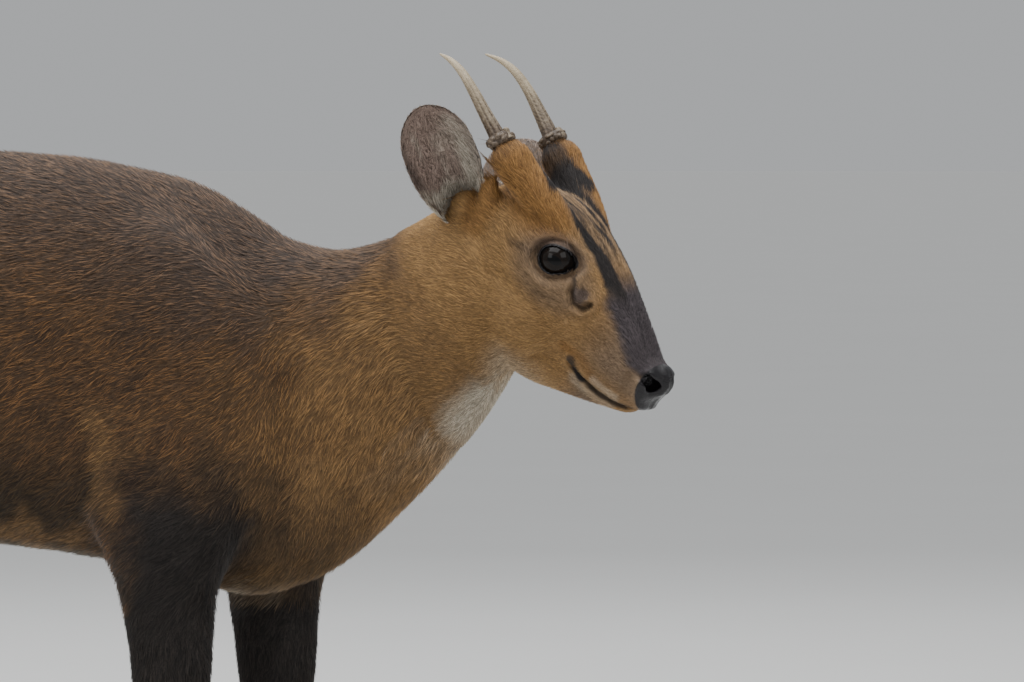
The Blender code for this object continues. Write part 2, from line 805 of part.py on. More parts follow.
def face_detail(face):
    """How much of the fine skin each point keeps when the head is thinned out."""
    flat = face[:, [0, 2]]
    side = np.where(face[:, 1] > 0, 1, -1)
    eye_place = np.column_stack([np.zeros(len(face)), side * 0.033, np.zeros(len(face))])
    eye = np.linalg.norm(face - eye_place, axis=1)
    keep = 0.6 * (eye < 0.019)
    keep = np.maximum(keep, 0.5 * (line_distance(flat, GLAND_LINE) < 0.006) * (np.abs(face[:, 1]) > 0.018))
    return np.maximum(keep, 0.3 * (line_distance(flat, np.array(MOUTH_LINE)) < 0.006))


# Ears, in the world: a cup with a thick root and thin rims
EAR_ROWS = (
    # along, half width, half angle of the cup in degrees, rim set forward
    (0.00, 0.0115, 140, 0.000),
    (0.10, 0.0138, 124, 0.001),
    (0.25, 0.0182, 102, 0.002),
    (0.40, 0.0215, 86, 0.002),
    (0.55, 0.0229, 76, 0.002),
    (0.70, 0.0219, 68, 0.003),
    (0.80, 0.0196, 62, 0.004),
    (0.88, 0.0163, 56, 0.005),
    (0.94, 0.0121, 51, 0.006),
    (0.98, 0.0074, 47, 0.007),
    (1.00, 0.0034, 44, 0.0075),
)


def ear(side):
    """The right ear stands up with its cup to the side, the left is laid back and out."""
    base = HEAD @ Vector((-0.0768, side * 0.0312, -0.0258))
    if side < 0:
        axis, facing = Vector((-0.136, -0.530, 0.837)), Vector((0.40, -0.82, -0.40))
    else:
        axis, facing = Vector((-0.305, 0.757, 0.578)), Vector((0.10, 0.75, -0.65))
    axis.normalize()
    facing = (facing - axis * facing.dot(axis)).normalized()
    across = axis.cross(facing)
    axis, facing, across = (np.array(v) for v in (axis, facing, across))
    table = np.array(EAR_ROWS, float)
    ways = np.sin(np.linspace(-math.pi / 2, math.pi / 2, 12))
    outer, inner = [], []
    for s in (1 - np.cos(np.linspace(0, math.pi, 17))) / 2:
        half, angle, forward = (np.interp(s, table[:, 0], table[:, i]) for i in (1, 2, 3))
        angle = math.radians(angle)
        radius = half / math.sin(min(angle, math.pi / 2))
        for grid, inset in ((outer, 0.0), (inner, 1.0)):
            wall = inset * EAR_WALL * (1 - 0.55 * np.abs(ways) ** 3) * (1 - 0.45 * s)
            turn = angle * ways
            out = np.sin(turn) * (radius - wall)
            deep = radius * math.cos(angle) - np.cos(turn) * (radius - wall)
            middle = np.array(base) + axis * (s * EAR_LENGTH - 0.010 * (1 - s)) + facing * forward
            grid.append(middle + np.outer(out, across) + np.outer(deep, facing))
    rows, columns = len(outer), len(ways)
    points = np.concatenate([np.concatenate(outer), np.concatenate(inner)])
    half = rows * columns
    faces = []
    for i in range(rows - 1):
        for j in range(columns - 1):
            a = i * columns + j
            quad = (a, a + 1, a + columns + 1, a + columns)
            faces.append(quad)
            faces.append(tuple(half + k for k in reversed(quad)))
    edge = [(0, j) for j in range(columns)]
    edge += [(i, columns - 1) for i in range(1, rows)]
    edge += [(rows - 1, j) for j in range(columns - 2, -1, -1)]
    edge += [(i, 0) for i in range(rows - 2, 0, -1)]
    for (i, j), (k, m) in zip(edge, edge[1:] + edge[:1]):
        a, b = i * columns + j, k * columns + m
        faces.append((b, a, half + a, half + b))
    return points, faces


ANTLER_RADII = (0.0068, 0.0052, 0.0043, 0.0036, 0.0029, 0.0020, 0.0007)


def antler(side):
    """A simple curved spike out of a rough burr, with a nub in front."""
    chance = np.random.default_rng(ANTLER_SEED + side)
    path = [
        (-0.0800, side * 0.0302, 0.0240),
        (-0.0905, side * 0.0310, 0.0283),
        (-0.1045, side * 0.0318, 0.0325),
        (-0.1215, side * 0.0322, 0.0375),
        (-0.1365, side * 0.0312, 0.0402),
        (-0.1490, side * 0.0292, 0.0392),
        (-0.1595, side * 0.0262, 0.0355),
    ]
    shapes = [sweep(path, ANTLER_RADII, 18, 5)]
    burr_at = np.array((-0.0862, side * 0.0307, 0.0275))
    axis = np.array((-0.94, 0.0, 0.34))
    aside = np.array((0.0, 1.0, 0.0))
    up = np.cross(axis, aside) * -1.0
    for k in range(13):
        turn = 2 * math.pi * k / 13
        out = math.cos(turn) * aside + math.sin(turn) * up
        size = chance.uniform(0.0027, 0.0040)
        lift = chance.uniform(-0.0012, 0.0016)
        shapes.append(ball(burr_at + out * 0.0072 + axis * lift, (size, size, size * 1.1), 10))
    # The nub in front of the spike
    nub = burr_at + up * 0.0066
    tip = nub + axis * 0.0075
    shapes.append(sweep([nub - axis * 0.002, (nub + tip) / 2, tip], (0.0038, 0.0031, 0.0012), 10, 3))
    return [moved(shape, HEAD) for shape in shapes]


def foot(front, side):
    """Where a foot stands: its X and Y."""
    if front:
        return FORE_STEP[side], side * FORE_Y
    return HIND_STEP[side] - 0.436, side * HIND_Y


def hoof(x, y, toe):
    """One of the two halves of a hoof, standing flat."""
    y = y + toe * 0.0072
    return loft(
        [
            Section((x + 0.0515, 0), (x + 0.0160, 0), 0.0060, 0.42, 1.75, y),
            Section((x + 0.0500, 0.006), (x + 0.0150, 0.006), 0.0065, 0.42, 1.8, y),
            Section((x + 0.0465, 0.014), (x + 0.0135, 0.014), 0.0066, 0.42, 1.9, y),
            Section((x + 0.0420, 0.023), (x + 0.0125, 0.023), 0.0063, 0.45, 2.0, y),
            Section((x + 0.0385, 0.031), (x + 0.0120, 0.031), 0.0055, 0.45, 2.0, y),
        ],
        sides=14,
        steps=1,
    )


def dewclaw(x, y, toe):
    turn = Matrix.Translation((x, y + toe * 0.0078, 0.037)) @ Matrix.Rotation(math.radians(-18), 4, "Y")
    return moved(ball((0, 0, 0), (0.0044, 0.0034, 0.0078), 8), turn)


def build_body():
    shapes = [trunk(), neck()]
    for side in (-1, 1):
        shapes += [shoulder(side), foreleg(side), hindleg(side)]
    body = fused("body", shapes, BODY_VOXEL)
    points = points_of(body.data)
    shank = np.clip((points[:, 2] - 0.10) / 0.15, 0.0, 1.0)
    relax(body, 10, hold=0.12 + 0.88 * shank)
    blend = np.clip((points[:, 2] - 0.225) / 0.05, 0.0, 1.0) * np.clip((0.115 - points[:, 0]) / 0.03, 0, 1)
    relax(body, 45, hold=blend, swell=-0.50)
    thin_out(body, BODY_TRIANGLES)
    return body


def build_head():
    shapes = [skull(), jaw(), *nose_lobes()]
    for side in (-1, 1):
        shapes += [pedicle(side), *ear_root(side), cheek(side)]
    shapes = [moved(shape, HEAD) for shape in shapes] + [neck()]
    head = fused("head", shapes, HEAD_VOXEL)
    to_face = np.array(HEAD.inverted())
    face = points_of(head.data) @ to_face[:3, :3].T + to_face[:3, 3]
    blend = np.clip((0.066 - face[:, 0]) / 0.03, 0.12, 1) * np.clip((0.040 - face[:, 2]) / 0.02, 0.3, 1)
    relax(head, 60, hold=blend, swell=-0.52)
    face = carve_face(head)
    relax(head, 2)
    thin_out(head, HEAD_TRIANGLES, keep=face_detail(face))
    return head


def main():
    for obj in list(bpy.data.objects):
        bpy.data.objects.remove(obj)
    body = build_body()
    head = build_head()
    nodes = {}

    # Sockets, lids, mouth and nostrils
    tools = []
    for side in (-1, 1):
        tools += [eye_ball(side, GAP), eye_opening(side), *nostril(side)]
    tools += mouth_slot()
    for shape in tools:
        tool = mesh_object("tool", moved(shape, HEAD))
        combined(head, tool, "DIFFERENCE")
        remove(tool)
    largest_piece(head)
    dress(head, COAT)
    for side, word in ((-1, "right"), (1, "left")):
        nodes["eye_" + word] = mesh_object("eye_" + word, moved(eye_ball(side), HEAD), EYE)

    # Neck, between the chest and the head
    head_cut, chest_cut = Vector((0.169, 0, 0.405)), Vector((0.107, 0, 0.370))
    head_way, chest_way = Vector((0.959, 0, 0.284)), Vector((0.974, 0, 0.226))
    big = (0.5, 0.5, 0.3)
    tool = cutter(head_cut, head_way, big)
    combined(head, tool, "DIFFERENCE")
    remove(tool)
    tool = cutter(head_cut - head_way * GAP, -head_way, big)
    combined(body, tool, "DIFFERENCE")
    remove(tool)
    nodes["neck"] = part_off(body, "neck", chest_cut, -chest_way, (0.4, 0.5, 0.3), COAT)

    # Legs: hooves first, then the shank and the upper leg
    for front in (True, False):
        for side, word in ((-1, "right"), (1, "left")):
            x, y = foot(front, side)
            name = ("fore" if front else "hind") + "leg"
            coronet, coronet_way = Vector((x + 0.028, y, 0.0205)), Vector((-0.27, 0, 0.963))
            tool = cutter(coronet + coronet_way * GAP, coronet_way, (0.12, 0.06, 0.06))
            combined(body, tool, "DIFFERENCE")
            remove(tool)
            for toe, which in ((-1, "right_toe"), (1, "left_toe")):
                nodes_name = f"hoof_{'fore' if front else 'hind'}_{word}_{which}"
                piece = mesh_object(nodes_name, hoof(x, y, toe))
                tool = cutter(coronet, -coronet_way, (0.12, 0.06, 0.06))
                combined(piece, tool, "DIFFERENCE")
                remove(tool)
                dress(piece, HOOF)
                nodes[nodes_name] = piece
            box = (0.16, 0.085, 0.5)
            knee = 0.152 if front else 0.176
            up = Vector((0, 0, 1))
            lower = part_off(body, f"{name}_lower_{word}", (x + 0.01, y, knee), up, box, LEG_COAT)
            nodes[lower.name] = lower
            top = 0.2375 if front else 0.262
            centre = (x + (0.01 if front else 0.035), y, top)
            upper = part_off(body, f"{name}_upper_{word}", centre, up, (0.22, 0.095, 0.5), LEG_COAT)
            nodes[upper.name] = upper
            for toe, which in ((-1, "right_toe"), (1, "left_toe")):
                claw_name = f"dewclaw_{'fore' if front else 'hind'}_{word}_{which}"
                claw = mesh_object(claw_name, dewclaw(x + 0.0048, y, toe))
                trimmed(claw, lower)
                dress(claw, HOOF)
                nodes[claw_name] = claw
    body.name = "torso"
    dress(largest_piece(body), COAT)
    nodes["torso"] = body
    tail = mesh_object("tail", tail_shape())
    dress(trimmed(tail, body), COAT)
    nodes["tail"] = tail

    # Ears and antlers, each trimmed back to the head
    for side, word in ((-1, "right"), (1, "left")):
        piece = mesh_object("ear_" + word, ear(side))
        dress(trimmed(piece, head), COAT)
        nodes[piece.name] = piece
        piece = fused("antler_" + word, antler(side), 0.0006)
        relax(piece, 2)
        thin_out(piece, 400)
        dress(trimmed(piece, head), ANTLER)
        nodes[piece.name] = piece

    # Nose pad
    pad = mesh_object("nose_cut", moved(ball((0.0960, 0, -0.0190), (0.0155, 0.026, 0.0205), 18), HEAD))
    nose = copied(head, "nose_pad")
    combined(nose, pad, "INTERSECT")
    remove(pad)
    grown = GAP / HEAD_SCALE
    pad = mesh_object(
        "nose_cut",
        moved(ball((0.0960, 0, -0.0190), (0.0155 + grown, 0.026 + grown, 0.0205 + grown), 18), HEAD),
    )
    combined(head, pad, "DIFFERENCE")
    remove(pad)
    dress(largest_piece(nose), NOSE)
    dress(largest_piece(head), COAT)
    nodes["nose_pad"], nodes["head"] = nose, head

    # The origin is the bottom centre of the whole.
    low = np.min([points_of(obj.data).min(axis=0) for obj in nodes.values()], axis=0)
    high = np.max([points_of(obj.data).max(axis=0) for obj in nodes.values()], axis=0)
    shift = np.array((-(low[0] + high[0]) / 2, -(low[1] + high[1]) / 2, -low[2]))
    for obj in nodes.values():
        set_points(obj.data, points_of(obj.data) + shift)
    return shift


ORIGIN_SHIFT = main()
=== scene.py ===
import math

import bmesh
import bpy
import numpy as np
from mathutils import Matrix, Vector
from mathutils.bvhtree import BVHTree


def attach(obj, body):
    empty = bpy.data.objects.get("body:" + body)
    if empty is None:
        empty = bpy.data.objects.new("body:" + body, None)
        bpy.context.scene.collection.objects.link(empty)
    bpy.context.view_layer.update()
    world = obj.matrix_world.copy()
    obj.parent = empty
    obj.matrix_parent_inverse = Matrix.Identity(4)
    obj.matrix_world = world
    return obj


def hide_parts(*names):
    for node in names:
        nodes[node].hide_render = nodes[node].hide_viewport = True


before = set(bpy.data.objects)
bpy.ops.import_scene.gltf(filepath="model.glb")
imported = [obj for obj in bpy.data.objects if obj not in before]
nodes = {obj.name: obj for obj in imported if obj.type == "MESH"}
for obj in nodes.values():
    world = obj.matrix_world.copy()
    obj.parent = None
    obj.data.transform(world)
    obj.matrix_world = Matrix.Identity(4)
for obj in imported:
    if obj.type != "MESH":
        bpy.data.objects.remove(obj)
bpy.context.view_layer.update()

# The room of the picture: a plain pale floor under a soft even sky, with one wide light overhead,
# one at either side of the camera and one behind. The camera stands low at the animal's right side,
# a little ahead of it, and looks at the shoulder and the head from 4.5 m away.
TARGET = Vector((0.28733, 0.07172, 0.40125))
AZIMUTH, HEIGHT, DISTANCE = math.radians(20), math.radians(2), 4.5
BACK = Vector((
    math.sin(AZIMUTH) * math.cos(HEIGHT), -math.cos(AZIMUTH) * math.cos(HEIGHT), math.sin(HEIGHT)
))


def linked(name, data):
    """A new object in the scene."""
    made = bpy.data.objects.new(name, data)
    bpy.context.scene.collection.objects.link(made)
    return made


camera = linked("camera", bpy.data.cameras.new("camera"))
camera.location = TARGET + BACK * DISTANCE
camera.rotation_euler = (-BACK).to_track_quat("-Z", "Y").to_euler()
camera.data.sensor_width = 36
camera.data.lens = 253.1
camera.data.clip_end = 100
bpy.context.scene.camera = camera


class Link:
    """An output of a finish's nodes. Sums, differences and products of links place Math nodes."""

    def __init__(self, finish, socket):
        self.finish, self.socket = finish, socket

    def worked(self, operation, first, second):
        return self.finish.node("ShaderNodeMath", {"operation": operation}, {0: first, 1: second})

    def __add__(self, other):
        return self.worked("ADD", self, other)

    def __sub__(self, other):
        return self.worked("SUBTRACT", self, other)

    def __rsub__(self, other):
        return self.worked("SUBTRACT", other, self)

    def __mul__(self, other):
        return self.worked("MULTIPLY", self, other)

    __radd__ = __add__
    __rmul__ = __mul__


class Finish:
    """A material of one Principled shader. Constants are set straight on its sockets."""

    def __init__(self, name, **constants):
        self.material = bpy.data.materials.new(name)
        self.material.use_nodes = True
        self.tree = self.material.node_tree
        self.shader = self.tree.nodes["Principled BSDF"]
        self.set(**constants)

    def set(self, **values):
        for name, value in values.items():
            self.feed(self.shader.inputs[name.replace("_", " ")], value)

    def feed(self, socket, value):
        if isinstance(value, Link):
            self.tree.links.new(value.socket, socket)
        elif socket.type == "RGBA" and len(value) == 3:
            socket.default_value = (*value, 1)
        else:
            socket.default_value = value

    def node(self, kind, settings=None, values=None, out=0):
        """Any node: its settings first, then the values or links of its sockets."""
        made = self.tree.nodes.new(kind)
        for name, value in (settings or {}).items():
            if name == "stops":
                ramp = made.color_ramp.elements
                while len(ramp) < len(value):
                    ramp.new(1.0)
                for stop, (at, level) in zip(ramp, value):
                    stop.position, stop.color = at, (level, level, level, 1)
            else:
                setattr(made, name, value)
        for name, value in (values or {}).items():
            self.feed(made.inputs[name], value)
        return Link(self, made.outputs[out])

    def read(self, name, out=2):
        """What the mesh says there: a number (2), or a vector (1)."""
        return self.node("ShaderNodeAttribute", {"attribute_name": name}, out=out)

    def mix(self, share, first, second, blend="MIX"):
        """A colour that goes from the first to the second."""
        return self.node(
            "ShaderNodeMix", {"data_type": "RGBA", "blend_type": blend}, {0: share, 6: first, 7: second}, 2
        )

    def noise(self, place, scale, detail=3.0, rough=0.5):
        return self.node(
            "ShaderNodeTexNoise", {}, {"Vector": place, "Scale": scale, "Detail": detail, "Roughness": rough}
        )

    def ramp(self, value, *stops):
        return self.node("ShaderNodeValToRGB", {"stops": stops}, {0: value})

    def bump(self, height, distance, strength):
        return self.node("ShaderNodeBump", {}, {"Height": height, "Distance": distance, "Strength": strength})


floor_finish = Finish("studio floor", Roughness=0.75)
floor_place = floor_finish.node("ShaderNodeNewGeometry")
floor_finish.set(
    Base_Color=floor_finish.mix(floor_finish.noise(floor_place, 3.0), (0.7, 0.7, 0.69), (0.73, 0.73, 0.72))
)


def meshed(name, points, faces):
    """A new mesh of these points and faces."""
    mesh = bpy.data.meshes.new(name)
    mesh.from_pydata(points, [], faces)
    return mesh


def round_turn(count):
    """Even angles round a full turn."""
    return 2 * math.pi * np.arange(count) / count


FLOOR_RADIUS, FLOOR_CORNERS = 45, 96
floor_rim = [(FLOOR_RADIUS * math.cos(t), FLOOR_RADIUS * math.sin(t), 0) for t in round_turn(FLOOR_CORNERS)]
floor_mesh = meshed("studio_floor", floor_rim, [range(FLOOR_CORNERS)])
floor_mesh.materials.append(floor_finish.material)
floor = linked("studio_floor", floor_mesh)

LIT_POINT = Vector((0.1, 0, 0.35))
for name, place, size, power in (
    ("light_overhead", (0.05, -0.25, 2.6), 2.4, 60),
    ("light_camera_left", (-1.3, -2.6, 2.0), 1.6, 20),
    ("light_camera_right", (2.6, -1.2, 1.9), 1.6, 18),
    ("light_behind", (-0.9, 2.6, 2.2), 1.8, 26),
):
    light = linked(name, bpy.data.lights.new(name, "AREA"))
    light.data.energy, light.data.size = power, size
    light.location = place
    light.rotation_euler = (Vector(place) - LIT_POINT).to_track_quat("Z", "Y").to_euler()
sun = linked("light_sky", bpy.data.lights.new("light_sky", "SUN"))
sun.data.energy, sun.data.angle = 0.62, math.radians(70)
sun.rotation_euler = (math.radians(14), math.radians(-16), 0)
world = bpy.data.worlds.new("studio")
world.use_nodes = True
sky = world.node_tree.nodes["Background"].inputs
sky["Color"].default_value, sky["Strength"].default_value = (0.86, 0.88, 0.9, 1), 0.52
bpy.context.scene.world = world

# The body's skin: one closed surface over trunk, neck, head, ears, legs and tail, with no seam
# where the solids are parted. It is drawn over the solids, then sunk by the depth of the coat.
FLESH = ["head", "nose_pad", "neck", "torso", "tail", "ear_left", "ear_right"]
FLESH += [f"{leg}_{part}_{side}" for leg in ("foreleg", "hindleg") for part in ("upper", "lower")
          for side in ("left", "right")]
CLOSED_GAP = 0.0003
BODY_GRAIN, HEAD_GRAIN = 0.0028, 0.00085
SMOOTHING, BACKING = 0.55, 0.575
COLLAR, COLLAR_WAY = np.array((0.232, -0.008, 0.39)), np.array((0.966, 0.0, 0.258))

# The face's own frame, from the solid's named sizes: x to the nose, y to its left, z out of the brow
FACE_SCALE = 0.965
FACE = (Matrix.Translation((0.37, -0.0201, 0.4518)) @ Matrix.Rotation(math.radians(-13), 4, "Z")
        @ Matrix.Rotation(math.radians(42), 4, "Y") @ Matrix.Scale(FACE_SCALE, 4))
FACE_ARRAY, FACE_BACK = np.array(FACE), np.array(FACE.inverted())


def to_face(points):
    return points @ FACE_BACK[:3, :3].T + FACE_BACK[:3, 3]


def from_face(points):
    return points @ FACE_ARRAY[:3, :3].T + FACE_ARRAY[:3, 3]


def unit(vectors):
    return vectors / np.maximum(np.linalg.norm(vectors, axis=-1, keepdims=True), 1e-12)


def solids(names, grown):
    """Vertices and faces of these solids, each grown a little, so that they run into each other."""
    points, faces = [], []
    for name in names:
        form = bmesh.new()
        form.from_mesh(nodes[name].data)
        bmesh.ops.remove_doubles(form, verts=form.verts, dist=0.000002)
        form.normal_update()
        first = len(points)
        points += [v.co + v.normal * grown for v in form.verts]
        faces += [[first + v.index for v in f.verts] for f in form.faces]
        form.free()
    return points, faces


def largest(points, faces):
    """The largest piece of a mesh, as arrays."""
    label = np.arange(len(points))
    pairs = np.concatenate([faces[:, [0, 1]], faces[:, [1, 2]], faces[:, [2, 3]]])
    while True:
        low = np.minimum(label[pairs[:, 0]], label[pairs[:, 1]])
        new = label.copy()
        np.minimum.at(new, pairs[:, 0], low)
        np.minimum.at(new, pairs[:, 1], low)
        new = new[new]
        if (new == label).all():
            break
        label = new
    keep = label == np.bincount(label).argmax()
    number = np.cumsum(keep) - 1
    return points[keep], number[faces[keep[faces[:, 0]]]]


def points_of(mesh):
    points = np.zeros(len(mesh.vertices) * 3)
    mesh.vertices.foreach_get("co", points)
    return points.reshape(-1, 3)


def faces_of(mesh, sides):
    faces = np.zeros(len(mesh.loops), int)
    mesh.loops.foreach_get("vertex_index", faces)
    return faces.reshape(-1, sides)


def redrawn(names, grain, rounds):
    """Even four-sided faces over these solids, smoothed until no facet of the solids shows."""
    draft = linked("draft", meshed("draft", *solids(names, CLOSED_GAP)))
    step = draft.modifiers.new("grain", "REMESH")
    step.mode, step.voxel_size = "VOXEL", grain
    made = draft.evaluated_get(bpy.context.evaluated_depsgraph_get()).to_mesh()
    points, faces = largest(points_of(made), faces_of(made, 4))
    bpy.data.objects.remove(draft)
    pull = Neighbours(faces, len(points))
    for turn in range(rounds):
        points = points + SMOOTHING * (pull.mean(points) - points)
        points = points - BACKING * (pull.mean(points) - points)
    return points, faces


class Neighbours:
    """Which points of a mesh share an edge, to even out a value over them."""

    def __init__(self, faces, count):
        sides = faces.shape[1]
        pairs = np.concatenate([faces[:, [k, (k + 1) % sides]] for k in range(sides)])
        self.ends = np.concatenate([pairs[:, 0], pairs[:, 1]])
        self.others = np.concatenate([pairs[:, 1], pairs[:, 0]])
        self.share = 1 / np.maximum(np.bincount(self.ends, minlength=count), 1)
        self.count = count

    def mean(self, values):
        flat = values.reshape(self.count, -1)
        out = np.column_stack([
            np.bincount(self.ends, column[self.others], self.count) for column in flat.T
        ])
        return (out * self.share[:, None]).reshape(values.shape)

    def evened(self, values, rounds):
        for turn in range(rounds):
            values = 0.4 * values + 0.6 * self.mean(values)
        return values


def cut_at_collar(points, faces, keep_head, shift):
    """The mesh on one side of a plane through the neck, left open there."""
    form = bmesh.new()
    mesh = meshed("draft", points.tolist(), faces.tolist())
    form.from_mesh(mesh)
    bpy.data.meshes.remove(mesh)
    bmesh.ops.bisect_plane(
        form, geom=form.verts[:] + form.edges[:] + form.faces[:], dist=0.00001,
        plane_co=COLLAR + COLLAR_WAY * shift, plane_no=COLLAR_WAY,
        clear_inner=keep_head, clear_outer=not keep_head,
    )
    return form


body_form = cut_at_collar(*redrawn(FLESH, BODY_GRAIN, 14), False, -0.0008)
head_form = cut_at_collar(
    *redrawn(["head", "nose_pad", "neck", "ear_left", "ear_right", "eye_left", "eye_right"],
             HEAD_GRAIN, 22), True, 0.0008,
)
skin_mesh = bpy.data.meshes.new("skin")
head_form.to_mesh(skin_mesh)
body_form.from_mesh(skin_mesh)
bmesh.ops.bridge_loops(body_form, edges=[e for e in body_form.edges if e.is_boundary])
bmesh.ops.triangulate(body_form, faces=body_form.faces[:])
bmesh.ops.recalc_face_normals(body_form, faces=body_form.faces[:])
body_form.to_mesh(skin_mesh)
body_form.free()
head_form.free()


def normals_of(mesh):
    mesh.update()
    normals = np.zeros(len(mesh.vertices) * 3)
    mesh.vertex_normals.foreach_get("vector", normals)
    return normals.reshape(-1, 3)


skin, skin_faces = points_of(skin_mesh), faces_of(skin_mesh, 3)
skin_pull = Neighbours(skin_faces, len(skin))

# Which solid each point of the skin lies on
owner_points, owner_faces, owner_of = [], [], []
for number, name in enumerate(FLESH):
    first, solid = len(owner_points), nodes[name].data
    owner_points += [v.co.copy() for v in solid.vertices]
    owner_faces += [[first + k for k in f.vertices] for f in solid.polygons]
    owner_of += [number] * len(solid.polygons)
owner_tree = BVHTree.FromPolygons(owner_points, owner_faces)
owner = np.array(owner_of)[[owner_tree.find_nearest(p)[2] for p in skin]]


def by_part(rounds, **sizes):
    """A size of the coat on each kind of part, evened out over the skin where parts meet."""
    kinds = [next(kind for kind in sizes if kind in name) for name in FLESH]
    return skin_pull.evened(np.array([sizes[kind] for kind in kinds])[owner], rounds)


# How deep the coat lies over the skin
depth = by_part(12, head=0.0011, nose=0.0, neck=0.0026, torso=0.0028, tail=0.0038, ear=0.0002,
                upper=0.0018, lower=0.0009)
normals = normals_of(skin_mesh)

# Eyes, tear glands and mouth, from the solid's named sizes
EYE_AT = {side: np.array((-0.0085, side * 0.0227, -0.003)) for side in (-1, 1)}
EYE_RADIUS, EYE_LENGTH, EYE_HEIGHT = 0.012, 0.0106, 0.0086
GLAND_LINE = np.array(((0.01, -0.001), (0.0145, -0.0035), (0.0168, -0.008), (0.0222, -0.0124),
                       (0.0286, -0.0114), (0.0298, -0.007)))
MOUTH_LINE = np.array(((0.04, -0.0463), (0.0532, -0.048), (0.0653, -0.0487), (0.0767, -0.0466),
                       (0.085, -0.043), (0.096, -0.0395)))
PAD_AT, PAD_SIZE = np.array((0.096, 0.0, -0.019)), np.array((0.0155, 0.026, 0.0205))
NOSTRIL = np.array(((0.101, 0.0145, -0.018), (0.094, 0.0115, -0.019), (0.087, 0.0085, -0.0205)))
NOSTRIL_TAIL = np.array(((0.094, 0.0122, -0.0185), (0.0905, 0.0146, -0.0172),
                         (0.086, 0.0163, -0.0168), (0.0815, 0.0178, -0.0178)))


def eye_axes(side):
    """Out of the eye, along its opening to the inner corner, and up."""
    out = unit(np.array((0.3, side * 0.92, 0.25)))
    along = np.array((0.94, 0, 0.3))
    along = unit(along - out * (along @ out))
    return out, along, np.cross(out, along) * side


def off_line(points, line):
    """How far each point is from a bent line."""
    line, best = np.array(line), np.full(len(points), 1e9)
    for start, end in zip(line[:-1], line[1:]):
        way = end - start
        share = np.clip((points - start) @ way / (way @ way), 0, 1)
        best = np.minimum(best, np.linalg.norm(points - start - share[:, None] * way, axis=1))
    return best


def soft(values, low, high):
    """0 at low and 1 at high, smooth between."""
    t = np.clip((values - low) / (high - low), 0, 1)
    return t * t * (3 - 2 * t)


def within(values, low, low_end, high, high_end):
    """1 from low_end to high and 0 outside low and high_end, smooth between."""
    return soft(values, low, low_end) * soft(values, high_end, high)


def hump(values, width, power=2):
    """1 at nought, gone soon past the width."""
    return np.exp(-((values / width) ** power))


def eye_place(face, side):
    """Place across an eye: over 1 outside its opening, and the height out of the eye's centre."""
    out, along, up = eye_axes(side)
    offset = face - EYE_AT[side]
    x, y, ahead = offset @ along, offset @ up, offset @ out
    wide = np.abs(x) / (EYE_LENGTH * np.where(x > 0, 1.14, 1.0))
    high = np.abs(y + 0.16 * np.maximum(x, 0) - 0.0002) / EYE_HEIGHT
    power = np.where(x > 0, 1.75, 2.1)
    return (wide**power + high**power) ** (1 / power), x, y, ahead


face = to_face(skin)
flat = face[:, [0, 2]]
near_eye = np.ones(len(skin))
for side in (-1, 1):
    place, x, y, ahead = eye_place(face, side)
    near_eye = np.minimum(near_eye, np.where(ahead > -0.004, soft(place, 1.3, 2.4), 1))
mouth_off = off_line(flat, MOUTH_LINE)
pad_off = np.linalg.norm((face - PAD_AT) / PAD_SIZE, axis=1)
on_head = np.isin(owner, [0, 1])
bare = np.minimum(near_eye, np.minimum(soft(mouth_off, 0.002, 0.009), soft(pad_off, 1.0, 1.5)))
bare = np.where(on_head, bare, 1)
depth = depth * (0.12 + 0.88 * bare) + CLOSED_GAP
skin = skin - normals * depth[:, None]

# Lids, glands, lips and nostrils are drawn finer than in the solids
face = to_face(skin)
face_normals = unit(normals @ FACE_ARRAY[:3, :3])
flat = face[:, [0, 2]]
for side in (-1, 1):
    here = on_head & (face[:, 1] * side > 0)
    out, along, up = eye_axes(side)
    place, x, y, ahead = eye_place(face, side)
    aside = np.hypot(x, y)
    lid = EYE_RADIUS + 0.0009 + 0.0006 * soft(y, 0.0, 0.006)
    on_lid = np.sqrt(np.maximum(lid**2 - aside**2, 0.0025**2))
    behind = np.sqrt(np.maximum((EYE_RADIUS - 0.0014) ** 2 - aside**2, 0.0))
    wanted = np.where(place < 1, behind, on_lid)
    share = here * (ahead > -0.003) * (1 - soft(place, 1.15, 1.75)) * (aside < 0.021)
    face = face + (share * (wanted - ahead))[:, None] * out
    crease = hump(place - 1.42, 0.1) * here * (ahead > 0)
    face = face - (crease * np.where(y > 0, 0.0009, 0.0005))[:, None] * out
    groove = off_line(flat, GLAND_LINE)
    pit = hump(groove, 0.0017) * here * (face[:, 2] > -0.03)
    rim = hump(groove - 0.0036, 0.0016) * here
    face = face + (rim * 0.0006 - pit * 0.0012)[:, None] * out
    slit = hump(off_line(flat, MOUTH_LINE), 0.001) * here
    roll = hump(off_line(flat, MOUTH_LINE + (0, 0.0036)), 0.0024) * here
    roll = roll + 0.7 * hump(off_line(flat, MOUTH_LINE - (0, 0.0032)), 0.002) * here
    face = face + (roll * 0.0006 - slit * 0.0018)[:, None] * face_normals
    hole = NOSTRIL * (1, side, 1)
    tail = NOSTRIL_TAIL * (1, side, 1)
    inside = hump(off_line(face, hole), 0.0056, 4) * here
    inside_tail = hump(off_line(face, tail), 0.0031, 4) * here
    wing = hump(off_line(face, tail) - 0.0048, 0.0016) * here * soft(pad_off, 1.25, 1.0)
    face = face - (inside * 0.0034 + inside_tail * 0.0032 - wing * 0.0004)[:, None] * face_normals
skin = from_face(face)

